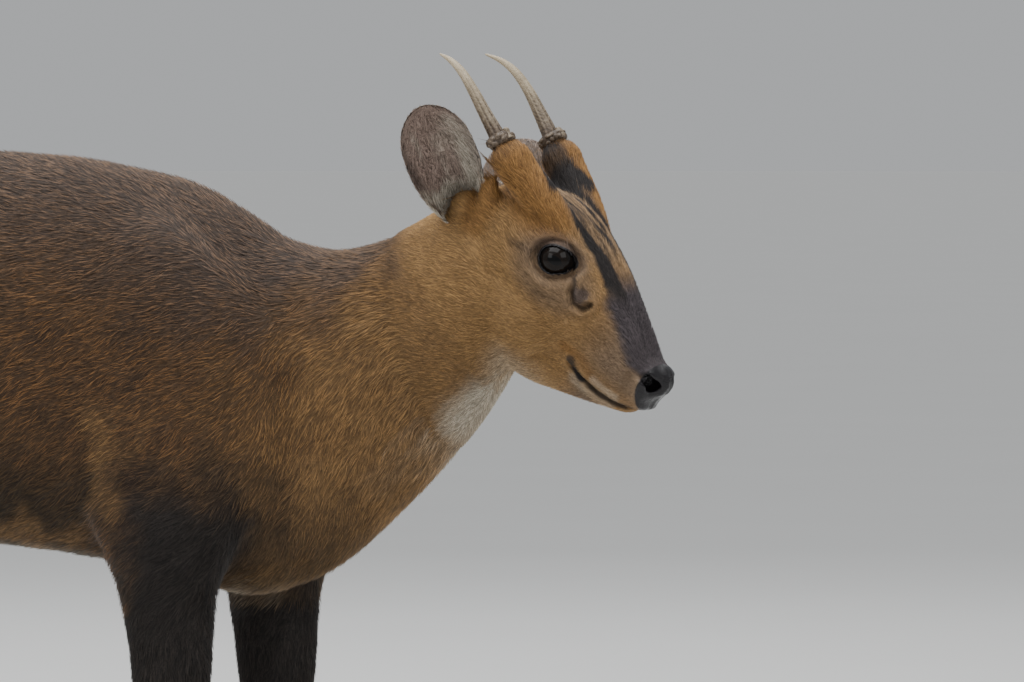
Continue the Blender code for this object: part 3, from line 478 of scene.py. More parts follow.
# The fold in front of the shoulder blade is softened, as the coat hides most of it
BLADE_FOLD = np.array(((0.06, 0.495), (0.105, 0.455), (0.145, 0.415)))
by_fold = soft(off_line(skin[:, [0, 2]], BLADE_FOLD), 0.05, 0.012)[:, None] * ~on_head[:, None]
skin = skin + by_fold * (skin_pull.evened(skin, 70) - skin)
skin_mesh.vertices.foreach_set("co", skin.astype(np.float32).ravel())
normals = normals_of(skin_mesh)

# The lie of the coat: back and down over the trunk, down the legs, from the nose up the face,
# up the pedicles and along the ears and the tail, evened out over the skin.
EAR_AXIS = {-1: unit(np.array((-0.136, -0.53, 0.837))), 1: unit(np.array((-0.305, 0.757, 0.578)))}
EAR_FACING = {-1: unit(np.array((0.4, -0.82, -0.4))), 1: unit(np.array((0.1, 0.75, -0.65)))}
EAR_BASE = {side: from_face(np.array((-0.0768, side * 0.0312, -0.0258))) for side in (-1, 1)}
PEDICLE = np.array(((0.004, 0.0115, 0.005), (-0.038, 0.022, 0.0158), (-0.0835, 0.0308, 0.0262)))


def blend(first, second, share):
    """From the first way to the second, by a share at each point."""
    return np.array(first) * (1 - share[:, None]) + np.array(second) * share[:, None]


x, y, z = skin.T
part = np.array([FLESH[k] for k in owner])
lie = np.zeros_like(skin)
low_on_side = soft(z, 0.5, 0.34)
trunk_lie = np.column_stack([-1 + 0 * x, 0 * x, -0.08 - 0.55 * low_on_side * soft(x, -0.3, 0.1)])
trunk_lie = blend(trunk_lie, (-0.45, 0, -1.0), soft(x, 0.13, 0.2) * soft(z, 0.47, 0.37))
trunk_lie = blend(trunk_lie, (-0.3, 0, -1.0), soft(x, -0.33, -0.4))
lie[part == "torso"] = trunk_lie[part == "torso"]
front = soft(face[:, 0] * 0.669 - face[:, 2] * 0.743, 0.02, 0.09)
neck_lie = blend((-0.92, 0, -0.38), (-0.55, 0, -0.85), front)
lie[part == "neck"] = neck_lie[part == "neck"]
face_lie = blend((-1.0, 0, 0.1), (-0.92, 0, -0.42), soft(face[:, 2], 0.005, -0.05))
on_pedicle = np.zeros(len(skin))
for side in (-1, 1):
    on_pedicle = np.maximum(on_pedicle, soft(off_line(face, PEDICLE * (1, side, 1)), 0.019, 0.012))
face_lie = blend(face_lie, (-0.93, 0, 0.36), on_pedicle)
head_lie = face_lie @ (FACE_ARRAY[:3, :3] / FACE_SCALE).T
lie[on_head] = head_lie[on_head]
lie[part == "tail"] = (-0.25, 0, -1)
for side, name in ((-1, "ear_right"), (1, "ear_left")):
    lie[part == name] = EAR_AXIS[side]
lie[np.char.find(part, "leg") >= 0] = (-0.1, 0, -1)
lie[np.char.startswith(part, "hindleg_upper")] = (-0.3, 0, -1)
lie = skin_pull.evened(unit(lie), 90)
lie = unit(lie - normals * np.sum(lie * normals, axis=1, keepdims=True))


# The markings are set by place on the body and not by view, so that skin and coat share them and
# both sides of the animal carry them: each is a share from 0 to 1, with an edge broken by ripples.
def ripple(points, length, seed, waves=9):
    """A smooth uneven wave through space, about -1 to 1, with humps of about that length."""
    chance = np.random.default_rng(seed)
    ways = unit(chance.normal(size=(waves, 3))) * (2 * math.pi / length)
    ways = ways * chance.uniform(0.6, 1.3, (waves, 1))
    return np.sin(points @ ways.T + chance.uniform(0, 6.28, waves)).sum(axis=1) / math.sqrt(waves / 2) / 1.6


STRIPE = np.array(((-0.072, 0.011), (-0.053, 0.0115), (-0.036, 0.0125), (-0.017, 0.0155),
                   (-0.007, 0.0145), (0.006, 0.013), (0.022, 0.0125), (0.04, 0.013)))
STRIPE_WIDTH = (0.004, 0.005, 0.0046, 0.005, 0.0056, 0.007, 0.009, 0.011)
STALK_PATCH = np.array(((-0.078, 0.0175), (-0.064, 0.015), (-0.053, 0.0165), (-0.04, 0.021)))
EAR_RIDGE = np.array(((-0.062, 0.027, -0.024), (-0.0668, 0.028, -0.013), (-0.0775, 0.029, 0.0075)))
TOP_LINE = np.array(((-0.43, 0.4), (-0.36, 0.47), (-0.28, 0.505), (-0.05, 0.5206), (0.03, 0.517),
                     (0.08, 0.503), (0.139, 0.466), (0.176, 0.461), (0.213, 0.471), (0.26, 0.487),
                     (0.3, 0.49)))
MARKS = ("back", "low", "gold", "orange", "grey", "pale", "dark", "bridge", "stripe", "cup", "wet")


def markings(points, part, normals):
    """The share of each marking at points that lie on these parts and face this way."""
    face = to_face(points)
    fx, fa, fz = face[:, 0], np.abs(face[:, 1]), face[:, 2]
    slow, fine = ripple(points, 0.03, 1), ripple(points, 0.007, 2)
    x = points[:, 0] + 0.01 * slow + 0.003 * fine
    z = points[:, 2] + 0.007 * ripple(points, 0.035, 3) + 0.003 * fine
    off_middle = np.abs(points[:, 1])
    wx = fx + 0.0008 * fine + 0.0008 * slow
    wa = fa + 0.0006 * ripple(points, 0.006, 4)
    seen_flat = np.column_stack([fx, fz])
    ear, hindleg = np.char.startswith(part, "ear"), np.char.startswith(part, "hindleg")
    torso = part == "torso"
    folded = np.column_stack([fx, fa, fz])
    pedicle_off = off_line(folded, PEDICLE)
    core_off = off_line(face, ((-0.05, 0, -0.03), (0.09, 0, -0.03)))
    head = soft(np.minimum(core_off, pedicle_off + 0.03), 0.078, 0.058) * ~ear
    trunk = (1 - head) * (np.isin(part, ("torso", "neck", "tail", "head"))
                          | np.char.startswith(part, "hindleg_upper"))
    marks = {}
    # Grizzled grey-brown of the back, along the whole top line and up the nape: partly the coat's own colour
    # and partly a painted sky sheen, a cool grey cast on the top of the back
    below = np.interp(x, *TOP_LINE.T) - z
    reaches = 0.105 - 0.035 * soft(x, 0.08, 0.2) - 0.02 * soft(x, 0.2, 0.25)
    marks["back"] = trunk * soft(below, reaches, 0.01)
    # Painted shade, with some of the coat's own umber, darker towards the bottom of the flank, and painted
    # shade on the chest between the forelegs
    hem = within(z, 0.268, 0.276, 0.286, 0.296)
    low = soft(z, 0.375, 0.285) * soft(x, 0.08, 0.045) * (0.35 + 0.65 * soft(x, -0.3, -0.14))
    low = low * (1 - 0.6 * hem)
    marks["low"] = trunk * np.clip(low + 0.7 * soft(z, 0.345, 0.255) * soft(x, 0.1, 0.16), 0, 1)
    # Rusty gold of the neck, chest and cheeks, behind the right elbow and along the low edge of the flank
    up_neck = x * 0.8 + (0.43 - z) * 0.45
    neck_gold = 0.58 * soft(up_neck, 0.12, 0.225) * (1 - 0.75 * marks["back"]) * trunk
    seam = 0.55 * trunk * soft(np.abs(x - 0.068 - 0.25 * (z - 0.3)), 0.022, 0.004) * soft(z, 0.375, 0.33)
    seam = seam * (points[:, 1] < 0)
    hem = 0.38 * trunk * hem * within(x, -0.25, -0.18, 0.03, 0.06)
    marks["gold"] = np.clip(neck_gold + seam * soft(z, 0.285, 0.312) + hem + head, 0, 1)
    # Orange on the pedicles, behind them and on the upper lip; browner where a pedicle ends
    on_lip = off_line(seen_flat, ((0.033, -0.0385), (0.046, -0.0365), (0.06, -0.0425)))
    streak = 0.7 * soft(on_lip, 0.005, 0.0015) * soft(fa, 0.012, 0.018)
    tip_brown = 0.5 * soft(pedicle_off, 0.024, 0.014) * soft(wx, -0.066, -0.08) * soft(fz, 0.0, 0.012)
    stalk = soft(pedicle_off, 0.027, 0.012) * soft(wx, 0.002, -0.022) * soft(fa, 0.008, 0.017)
    ridge = 0.8 * soft(off_line(folded, EAR_RIDGE), 0.016, 0.009)
    marks["orange"] = head * np.clip(stalk + streak + ridge, 0, 1)
    # Grey-brown of the muzzle and under the eyes, and of the backs of the ears
    muzzle = soft(fx, 0.03, 0.064) * soft(fz, -0.05, -0.028)
    eye_off = np.hypot(fx / 1.45, fz + 0.008)
    under_eye = soft(eye_off, 0.027, 0.014) * soft(fa, 0.017, 0.024)
    chin = head * soft(fx, 0.036, 0.06) * soft(fz + 0.25 * fx, -0.0365, -0.042)
    forehead = 0.7 * soft(fz, 0.004, 0.012) * soft(fx, 0.03, 0.01) * soft(fa, 0.024, 0.014)
    marks["grey"] = np.clip(head * (muzzle + 0.75 * under_eye + chin + forehead) + 0.3 * ear, 0, 1)
    # The ears take the back's grey-brown, with its painted sky sheen
    marks["back"] = np.where(ear, 0.85, marks["back"])
    # White: throat, between the forelegs, belly, inside the thighs, under the tail
    ahead = normals @ np.array((0.73, 0.0, -0.68))
    throat = soft(ahead, 0.5, 0.88) * soft(z, 0.315, 0.378) * soft(x, 0.19, 0.24) * soft(fx, 0.035, 0.0)
    throat = 0.85 * throat * soft(fz, -0.074, -0.094) * soft(z, 0.388, 0.366)
    jaw = head * 0.35 * soft(fa, 0.036, 0.018) * within(fx, -0.045, -0.015, 0.01, 0.05)
    jaw = jaw * soft(fz, -0.056, -0.078)
    between = soft(off_middle, 0.042, 0.024) * soft(z, 0.277, 0.258)
    between = between * within(x, 0.098, 0.115, 0.128, 0.152)
    belly = soft(off_middle, 0.034, 0.01) * soft(normals[:, 2], -0.55, -0.92) * soft(x, 0.2, 0.1)
    inward = soft(-normals[:, 1] * np.sign(points[:, 1]), 0.1, 0.8)
    thigh = (hindleg | torso) * inward * soft(x, -0.17, -0.25)
    thigh = thigh * within(z, 0.205, 0.275, 0.275, 0.335)
    under_tail = (part == "tail") * soft(normals[:, 0], -0.2, 0.5)
    above_line = off_line(seen_flat, ((0.06, -0.0432), (0.069, -0.0432), (0.078, -0.0415)))
    below_line = off_line(seen_flat, ((0.048, -0.052), (0.06, -0.0525), (0.076, -0.05)))
    lip = head * (0.28 * soft(above_line + 0.0006 * fine, 0.0042, 0.0006)
                  + 0.26 * soft(below_line + 0.0006 * fine, 0.0062, 0.001))
    under = torso * (0.42 * between + 0.18 * belly)
    marks["pale"] = np.clip(throat + jaw + under + 0.3 * thigh + under_tail + lip, 0, 1)
    # Dark legs, from the elbow and the knee of the hind leg down
    on_leg = soft(z, 0.352, 0.292) * soft(off_middle, 0.018, 0.045)
    shoulder = on_leg * torso * within(x, 0.054, 0.1, 0.15, 0.196)
    fore = np.char.startswith(part, "foreleg") * soft(z, 0.33, 0.29)
    hind = hindleg * soft(z, 0.235, 0.165)
    marks["dark"] = np.clip(shoulder + fore + hind, 0, 1)
    # Bridge of the nose, charcoal with a purple cast, and the black V from the pedicles down
    side_edge = np.interp(fx, (0.018, 0.035, 0.05, 0.07, 0.09), (0.013, 0.02, 0.019, 0.0185, 0.02))
    low_edge = np.interp(fx, (0.03, 0.05, 0.07), (-0.001, -0.0065, -0.0175))
    bridge = soft(wx, 0.014, 0.04) * soft(wa, side_edge + 0.003, side_edge - 0.003)
    bridge = bridge * soft(fz, low_edge - 0.0045, low_edge + 0.0005)
    lobe = soft(np.hypot(fx - 0.0222, fz + 0.0062), 0.0062, 0.0035) * soft(fa, 0.016, 0.02)
    width = np.interp(fx, STRIPE[:, 0], STRIPE_WIDTH)
    stripe = soft(np.abs(wa - np.interp(fx, *STRIPE.T)) - width * 0.5, 0.0014, -0.001)
    stripe = stripe * soft(wx, -0.074, -0.066) * soft(fx, 0.06, 0.03)
    patch_off = off_line(np.column_stack([wx, wa]), STALK_PATCH)
    stripe = np.maximum(stripe, soft(patch_off, 0.0078, 0.004) * (1 - 0.45 * soft(wx, -0.06, -0.074)))
    lines = ripple(np.column_stack([fx * 0.1, face[:, 1], fz * 0.15]), 0.0042, 8)
    stripe = np.maximum(stripe, 0.72 * soft(lines, 0.05, 0.7) * soft(fa, 0.017, 0.012)
                        * within(wx, -0.056, -0.046, 0.0, 0.03))
    inner = np.interp(fx, (-0.046, -0.026, -0.014, 0.004), (0.0068, 0.0066, 0.0046, 0.002))
    middle = 0.7 * soft(np.abs(wa - inner), 0.0018, 0.0004) * within(wx, -0.052, -0.044, -0.004, 0.008)
    middle = middle + 0.5 * soft(wa, 0.0014, 0.0003) * within(wx, -0.05, -0.04, 0.006, 0.016)
    spot = off_line(seen_flat, ((0.041, -0.0425), (0.046, -0.0455), (0.052, -0.049)))
    corner = 0.85 * soft(spot + 0.0005 * fine, 0.0042, 0.0012) * soft(fa, 0.012, 0.018)
    lips = 0.85 * soft(off_line(seen_flat, MOUTH_LINE) + 0.0004 * fine, 0.0034, 0.0008)
    lips = lips * soft(fa, 0.004, 0.008) * soft(fx, 0.04, 0.046)
    groove = off_line(seen_flat, GLAND_LINE)
    gland = 0.75 * soft(groove, 0.0032, 0.0006) * soft(fa, 0.016, 0.02)
    eye_tail = off_line(seen_flat, ((-0.02, -0.007), (-0.034, -0.012)))
    behind_eye = 0.4 * soft(eye_tail, 0.004, 0.001) * soft(fa, 0.018, 0.024)
    small = corner + lips + gland + behind_eye + tip_brown
    marks["stripe"] = np.clip(head * ((stripe + middle) * soft(fz, 0.0, 0.008) + small), 0, 1)
    # Bare skin: nose pad and the rims of the eyes; and the inside of the ears
    pad_off = np.linalg.norm((face - PAD_AT) / PAD_SIZE, axis=1)
    rim, lid_ring = np.zeros(len(points)), np.zeros(len(points))
    for side in (-1, 1):
        place, ex, ey, ahead = eye_place(face, side)
        rim = np.maximum(rim, soft(place, 1.22, 1.12) * (ahead > 0.0))
        ring = soft(place, 2.05, 1.35) * (ahead > -0.003) * (0.4 + 0.6 * soft(ey, 0.004, -0.006))
        lid_ring = np.maximum(lid_ring, ring)
    marks["bridge"] = head * np.clip(bridge + 0.75 * lobe + 0.62 * lid_ring, 0, 1)
    marks["wet"] = np.maximum(soft(pad_off, 1.04, 0.98), rim) * head
    cup = np.zeros(len(points))
    for side, name in ((-1, "ear_right"), (1, "ear_left")):
        here = part == name
        seen = normals @ EAR_FACING[side]
        cup = np.where(here, soft(seen, 0.0, 0.28), cup)
        up = (points - EAR_BASE[side]) @ EAR_AXIS[side] / 0.082
        forward = -side * (points - EAR_BASE[side]) @ np.cross(EAR_AXIS[side], EAR_FACING[side])
        rays = 0.5 + 0.5 * ripple(np.column_stack([forward, up * 0.006, 0 * up]), 0.0055, 9)
        white = soft(forward + 0.004 * slow, -0.004, 0.013) * soft(up + 0.1 * slow, 0.9, 0.5)
        white = white * (0.25 if side > 0 else 1)
        white = np.maximum(white * (0.45 + 0.55 * rays), 0.3 * soft(rays, 0.55, 0.9) * soft(up, 0.85, 0.6))
        white = np.maximum(white, 0.85 * soft(up + 0.04 * slow, 0.22, 0.1))
        fringe = soft(np.abs(seen), 0.3, 0.05) * soft(up, 0.1, 0.3)
        in_front = soft(forward, 0.006, 0.012)
        marks["pale"] = np.where(here, cup * white * 0.9 + 0.6 * fringe * (1 - in_front), marks["pale"])
        inner_edge = 0.55 * cup * soft(seen, 0.72, 0.42) * soft(up, 0.1, 0.35) * (1 - white)
        marks["stripe"] = np.where(here, np.maximum(inner_edge, 0.7 * fringe * in_front), marks["stripe"])
    marks["cup"] = cup
    return {name: marks[name].astype(np.float32) for name in MARKS}


skin_marks = markings(skin, part, normals)


def keep(mesh, name, values, kind="FLOAT"):
    """Writes numbers or vectors on the points of a mesh, for its material to read."""
    field = {"FLOAT": "value", "FLOAT_VECTOR": "vector"}[kind]
    values = np.ascontiguousarray(values, np.float32).ravel()
    mesh.attributes.new(name, kind, "POINT").data.foreach_set(field, values)


for name, values in skin_marks.items():
    keep(skin_mesh, name, values)
keep(skin_mesh, "root", skin, "FLOAT_VECTOR")
keep(skin_mesh, "lie", lie, "FLOAT_VECTOR")
keep(skin_mesh, "along", np.full(len(skin), 0.35))


# One finish for skin and coat. Each hair is dark at the root, has a rusty or buff band and a dark tip: the
# share of each, and the hue of the place, come from the markings and the tuft's own draw.
# Painted shade darkens every hair further towards its root, and the skin under the coat.
TINTS = (
    # low: painted shade with some of the coat's own umber, on the low flank and the chest between the
    # forelegs
    ("low", 0.88, (0.016, 0.011, 0.006), (0.052, 0.034, 0.016)),
    ("orange", 0.9, (0.195, 0.086, 0.022), (0.4, 0.205, 0.06)),
    ("grey", 0.8, (0.105, 0.072, 0.05), (0.26, 0.185, 0.125)),
    ("cup", 1.0, (0.165, 0.108, 0.085), (0.42, 0.315, 0.262)),
    ("pale", 1.0, (0.42, 0.37, 0.28), (0.78, 0.73, 0.61)),
    ("dark", 1.0, (0.009, 0.007, 0.006), (0.034, 0.026, 0.022)),
    ("bridge", 1.0, (0.03, 0.023, 0.026), (0.09, 0.073, 0.077)),
    ("stripe", 1.0, (0.008, 0.006, 0.006), (0.03, 0.023, 0.021)),
)


def coat_finish(name, is_skin):
    coat = Finish(name, Specular_IOR_Level=0.32, Sheen_Weight=0.0 if is_skin else 0.05, Sheen_Roughness=0.45)
    root, along = coat.read("root", 1), coat.read("along")
    mark = {m: coat.read(m) for m in MARKS}
    if is_skin:
        flow = coat.read("lie", 1)
        length = coat.node("ShaderNodeVectorMath", {"operation": "DOT_PRODUCT"}, {0: root, 1: flow}, 1)
        drawn = coat.node("ShaderNodeVectorMath", {"operation": "SCALE"}, {0: flow, 3: length * 0.86})
        across = coat.node("ShaderNodeVectorMath", {"operation": "SUBTRACT"}, {0: root, 1: drawn})
        hairs = coat.noise(across, 900.0, 3.0, 0.6) + coat.noise(across, 260.0, 2.0) * 0.8
        strand = coat.ramp(hairs, (0.7, 0.0), (1.1, 1.0))
        pebble = coat.node("ShaderNodeTexVoronoi", {"feature": "F1"}, {"Vector": root, "Scale": 1100.0})
        height = hairs * (1.0 - mark["wet"]) + pebble * mark["wet"] * 0.9
        coat.set(Normal=coat.bump(height, 0.0006, 0.55))
    else:
        strand = coat.read("strand")
    patch = coat.ramp(coat.noise(root, 34.0, 3.0, 0.6), (0.38, 0.0), (0.62, 1.0))
    fleck = coat.ramp(strand + (coat.noise(root, 260.0, 3.0, 0.7) - 0.5) * 1.3, (0.46, 0.0), (0.78, 1.0))
    hue = coat.mix(patch, (0.078, 0.045, 0.024), (0.11, 0.062, 0.03))
    # back: the coat's own grey-brown with a painted cool sky sheen along the top line, here and in the band
    # below
    hue = coat.mix(mark["back"] * 0.9, hue, (0.072, 0.051, 0.04))
    hue = coat.mix(mark["gold"], hue, coat.mix(patch, (0.3, 0.172, 0.068), (0.37, 0.218, 0.088)))
    band = coat.mix(mark["gold"], (0.27, 0.13, 0.045), (0.54, 0.315, 0.12))
    band = coat.mix(mark["back"] * 0.85, band, (0.23, 0.14, 0.085))
    banded = coat.ramp(along, (0.3, 0.0), (0.55, 1.0), (0.8, 1.0), (0.95, 0.15))
    hue = coat.mix(fleck * banded * (0.85 - mark["back"] * 0.15), hue, band)
    for tint, share, dull, bright in TINTS:
        hue = coat.mix(mark[tint] * share, hue, coat.mix(strand, dull, bright))
    hue = coat.mix(mark["wet"], hue, (0.0075, 0.0062, 0.0075))
    # Painted shade: darker towards the roots of the hairs and on the skin under them, a little lighter at the
    # tips; the tuft's draw gives each hair its own brightness
    shade = coat.ramp(along, (0.0, 0.4), (0.5, 0.95), (1.0, 1.08)) * (0.76 + strand * 0.48)
    shade = 1.0 + (shade - 1.0) * (1.0 - mark["wet"])
    coat.set(Base_Color=coat.mix(1.0, hue, shade, "MULTIPLY"), Roughness=0.66 - mark["wet"] * 0.45)
    return coat.material


skin_mesh.materials.append(coat_finish("skin", True))
skin_mesh.shade_smooth()
skin_object = linked("skin", skin_mesh)
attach(skin_object, "root")
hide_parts(*FLESH)

# The coat: short guard hairs that lie along the body in fine flat tufts, smallest on the face and
# the feet and longest on the tail and the front of the neck. Each is a thin closed blade of four
# three-cornered faces, rooted in the skin, that ends at the depth of the coat.
chance = np.random.default_rng(20)
CHARTS = {"torso": (0.0, 0.0, 1.0, 0.42), "neck": (0.0, 0.43, 0.35, 0.7), "head": (0.37, 0.43, 1.0, 0.7),
          "tail": (0.0, 0.95, 0.3, 1.0),
          "ear_left": (0.33, 0.95, 0.63, 1.0), "ear_right": (0.66, 0.95, 1.0, 1.0),
          "foreleg_left": (0.0, 0.71, 0.24, 0.94), "foreleg_right": (0.25, 0.71, 0.49, 0.94),
          "hindleg_left": (0.5, 0.71, 0.74, 0.94), "hindleg_right": (0.75, 0.71, 1.0, 0.94)}
CHART_EDGE = 0.004
chart_of = np.array([name if name in CHARTS else {"nose_pad": "head"}.get(name) or
                     "_".join(name.split("_")[::2]) for name in FLESH])


def unrolled(points, charts):
    """Each part's skin opened out round its own axis, into its own place on one sheet."""
    sheet = np.zeros((len(points), 2))
    for name, (left, low, right, high) in CHARTS.items():
        pick = charts == name
        here = points[pick]
        if name == "torso":
            length, turn = here[:, 0], np.arctan2(here[:, 1], here[:, 2] - 0.37)
        elif name == "neck":
            length = here @ COLLAR_WAY
            turn = np.arctan2(here[:, 1], (here[:, 2] - 0.38) * 0.966 - (here[:, 0] - 0.23) * 0.258)
        elif name == "head":
            local = to_face(here)
            length, turn = local[:, 0], np.arctan2(local[:, 1], local[:, 2] + 0.035)
        elif name.startswith("ear"):
            axis = EAR_AXIS[-1 if "right" in name else 1]
            side = unit(np.cross(axis, (0.0, 0.0, 1.0)))
            length, middle = here @ axis, here.mean(axis=0)
            turn = np.arctan2((here - middle) @ side, (here - middle) @ np.cross(axis, side))
        else:
            bins = np.clip(((here[:, 2] - here[:, 2].min()) / 0.02).astype(int), 0, 200)
            count = np.maximum(np.bincount(bins), 1)
            middle = np.column_stack([np.bincount(bins, here[:, k]) / count for k in (0, 1)])[bins]
            length = here[:, 2]
            turn = np.arctan2(here[:, 1] - middle[:, 1], here[:, 0] - middle[:, 0])
        length = (length - length.min()) / (length.max() - length.min())
        sheet[pick] = np.column_stack([
            left + CHART_EDGE + length * (right - left - 2 * CHART_EDGE),
            low + CHART_EDGE + (turn / (2 * math.pi) + 0.5) * (high - low - 2 * CHART_EDGE),
        ])
    return sheet


corners = skin[skin_faces]
area = np.linalg.norm(np.cross(corners[:, 1] - corners[:, 0], corners[:, 2] - corners[:, 0]), axis=1) / 2
MOST_TUFTS = 365000
spacing = by_part(6, head=0.00092, nose=0.001, neck=0.0013, torso=0.0015, tail=0.0015, ear=0.0011,
                  upper=0.0015, lower=0.0013)
haired = np.clip(1 - 1.5 * skin_marks["wet"] - skin_marks["cup"] * (0.62 - 0.5 * skin_marks["pale"]), 0, 1)
haired = haired * (1 - 0.9 * soft(skin_marks["stripe"], 0.5, 0.8) * soft(mouth_off, 0.003, 0.0015) * on_head)
wanted = area * (haired / spacing**2)[skin_faces].mean(axis=1)
TUFTS = int(min(wanted.sum(), MOST_TUFTS))
cumulative = np.cumsum(wanted)
drawn = (np.arange(TUFTS) + chance.uniform(0, 1, TUFTS)) / TUFTS
chosen = np.searchsorted(cumulative, drawn * cumulative[-1])
chosen = np.minimum(chosen, len(skin_faces) - 1)
mixes = np.sqrt(chance.uniform(0, 1, TUFTS))[:, None], chance.uniform(0, 1, TUFTS)[:, None]
weights = np.hstack([1 - mixes[0], mixes[0] * (1 - mixes[1]), mixes[0] * mixes[1]])


def at_root(values):
    """A value of the skin's points, read at the roots."""
    picked = values[skin_faces[chosen]]
    return np.einsum("nk,nk...->n...", weights, picked)


root = at_root(skin)
root_normal = unit(at_root(normals))
root_lie = unit(at_root(lie))
root_depth = at_root(depth)
root_part = owner[skin_faces[chosen][:, 0]]
root_marks = markings(root, np.array(FLESH)[root_part], root_normal)
root_face = to_face(root)

length = at_root(by_part(14, head=0.0052, nose=0.0015, neck=0.0084, torso=0.0078, tail=0.017, ear=0.0045,
                         upper=0.0074, lower=0.0056))
on_face = soft(root_face[:, 0], -0.05, 0.07) * (root_part == 0)
length = length * (1 - 0.62 * on_face)
in_cup = root_marks["cup"] > 0.5
on_stalk = soft(root_face[:, 0], -0.068, -0.08) * (root_part == 0) * (root_face[:, 2] > 0.005)
length = length * (1 + 0.8 * on_stalk)
length = length * np.where(in_cup, 1.5, 1 + 0.35 * soft(root_marks["pale"], 0.3, 0.9) * (root_part != 0))
length = length * np.exp(0.22 * chance.normal(size=TUFTS)) * (1 + 0.15 * ripple(root, 0.02, 5))
breadth = 0.055 * length + 0.00018
sway = 0.2 * ripple(root, 0.016, 6) + 0.14 * ripple(root, 0.045, 7) + 0.13 * chance.normal(size=TUFTS)
root_side = np.cross(root_normal, root_lie)
root_lie = unit(root_lie * np.cos(sway)[:, None] + root_side * np.sin(sway)[:, None])
root_side = np.cross(root_normal, root_lie)
skin_tree = BVHTree.FromPolygons(skin.tolist(), skin_faces.tolist())
tip, tip_normal = np.zeros_like(root), np.zeros_like(root)
reach = root + root_lie * length[:, None]
for number in range(TUFTS):
    tip[number], tip_normal[number] = skin_tree.find_nearest(reach[number])[:2]
rise = root_depth * chance.uniform(0.45, 1.05, TUFTS) * (1 + 0.7 * on_stalk)
rise = rise + length * np.where(in_cup, 0.12, 0.015)
tip = tip + tip_normal * rise[:, None]
across = root_side * (breadth / 2)[:, None]
lift = root_normal * (breadth * 0.35)[:, None]
sunk = root_normal * 0.0003
corners = np.stack([root - across - sunk, root + across - sunk, root + lift, tip], axis=1)
lean = root_side * (0.22 * chance.normal(size=TUFTS))[:, None]
lean = lean + root_lie * (0.18 * chance.normal(size=TUFTS))[:, None]
ridge = unit(np.stack([
    root_normal - 0.4 * root_side + lean, root_normal + 0.4 * root_side + lean, root_normal + lean,
    tip_normal + 0.2 * root_lie + lean,
], axis=1))
BLADE = np.array(((0, 1, 3), (1, 2, 3), (2, 0, 3), (0, 2, 1)))
BLADE_ALONG = np.array((0, 0, 0.1, 1.0))
BLADE_PATCH = np.array(((-1, -1), (1, -1), (0, -0.8), (0, 1))) * 0.0015
strand = chance.uniform(0, 1, TUFTS)
sheet = unrolled(root, chart_of[root_part])
coat_material = coat_finish("coat", False)


def coat_piece(name, pick, slot):
    """The tufts of one region, as one mesh."""
    count = int(pick.sum())
    faces = (BLADE[None] + 4 * np.arange(count)[:, None, None]).reshape(-1, 3)
    mesh = bpy.data.meshes.new(name)
    mesh.vertices.add(count * 4)
    mesh.vertices.foreach_set("co", corners[pick].astype(np.float32).ravel())
    mesh.loops.add(faces.size)
    mesh.loops.foreach_set("vertex_index", faces.astype(np.int32).ravel())
    mesh.polygons.add(len(faces))
    mesh.polygons.foreach_set("loop_start", np.arange(0, faces.size, 3, dtype=np.int32))
    mesh.update(calc_edges=True)
    mesh.shade_smooth()
    patch = (sheet[pick][:, None] + BLADE_PATCH[None]).reshape(-1, 2)
    mesh.uv_layers.new(name="OFBake").data.foreach_set("uv", patch[faces.ravel()].astype(np.float32).ravel())
    for mark, values in root_marks.items():
        keep(mesh, mark, np.repeat(values[pick], 4))
    keep(mesh, "root", np.repeat(root[pick], 4, axis=0), "FLOAT_VECTOR")
    keep(mesh, "along", np.tile(BLADE_ALONG, count))
    keep(mesh, "strand", np.repeat(strand[pick], 4))
    mesh.normals_split_custom_set_from_vertices(ridge[pick].reshape(-1, 3))
    mesh.materials.append(coat_material)
    piece = linked(name, mesh)
    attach(piece, "root")


root_chart = chart_of[root_part]
on_top = root_face[:, 2] > -0.03
regions = {}
for side, here in (("left", root[:, 1] > 0), ("right", root[:, 1] <= 0)):
    for end, start, stop in (("rear", -1, -0.12), ("middle", -0.12, 0.06), ("front", 0.06, 1)):
        span = (root[:, 0] >= start) & (root[:, 0] < stop)
        regions[f"coat_trunk_{end}_{side}"] = here & span & (root_chart == "torso")
    regions[f"coat_neck_{side}"] = here & (root_chart == "neck")
    regions[f"coat_brow_{side}"] = here & on_top & (root_chart == "head")
    regions[f"coat_cheek_{side}"] = here & ~on_top & (root_chart == "head")
for name in ("foreleg_left", "foreleg_right", "hindleg_left", "hindleg_right",
             "ear_left", "ear_right", "tail"):
    regions[f"coat_{name}"] = root_chart == name
for name, pick in regions.items():
    coat_piece(name, pick, "leg_coat" if "leg" in name else "coat")

# The eyes: black-brown glossy balls, with a front that bulges a little over a dark iris and a
# level slit. The lids of the skin close over them.
def outward(mesh, joined=0.0):
    """Turns the faces of a closed mesh outward, with points nearer than this joined."""
    form = bmesh.new()
    form.from_mesh(mesh)
    if joined:
        bmesh.ops.remove_doubles(form, verts=form.verts, dist=joined)
    bmesh.ops.recalc_face_normals(form, faces=form.faces[:])
    form.to_mesh(mesh)
    form.free()
    mesh.shade_smooth()


def tube_faces(rows, around):
    """Four-sided faces between rings of points, each ring to the next."""
    rings = [i * around for i in range(rows - 1)]
    sides = [(k, (k + 1) % around) for k in range(around)]
    return [(r + a, r + b, r + b + around, r + a + around) for r in rings for a, b in sides]


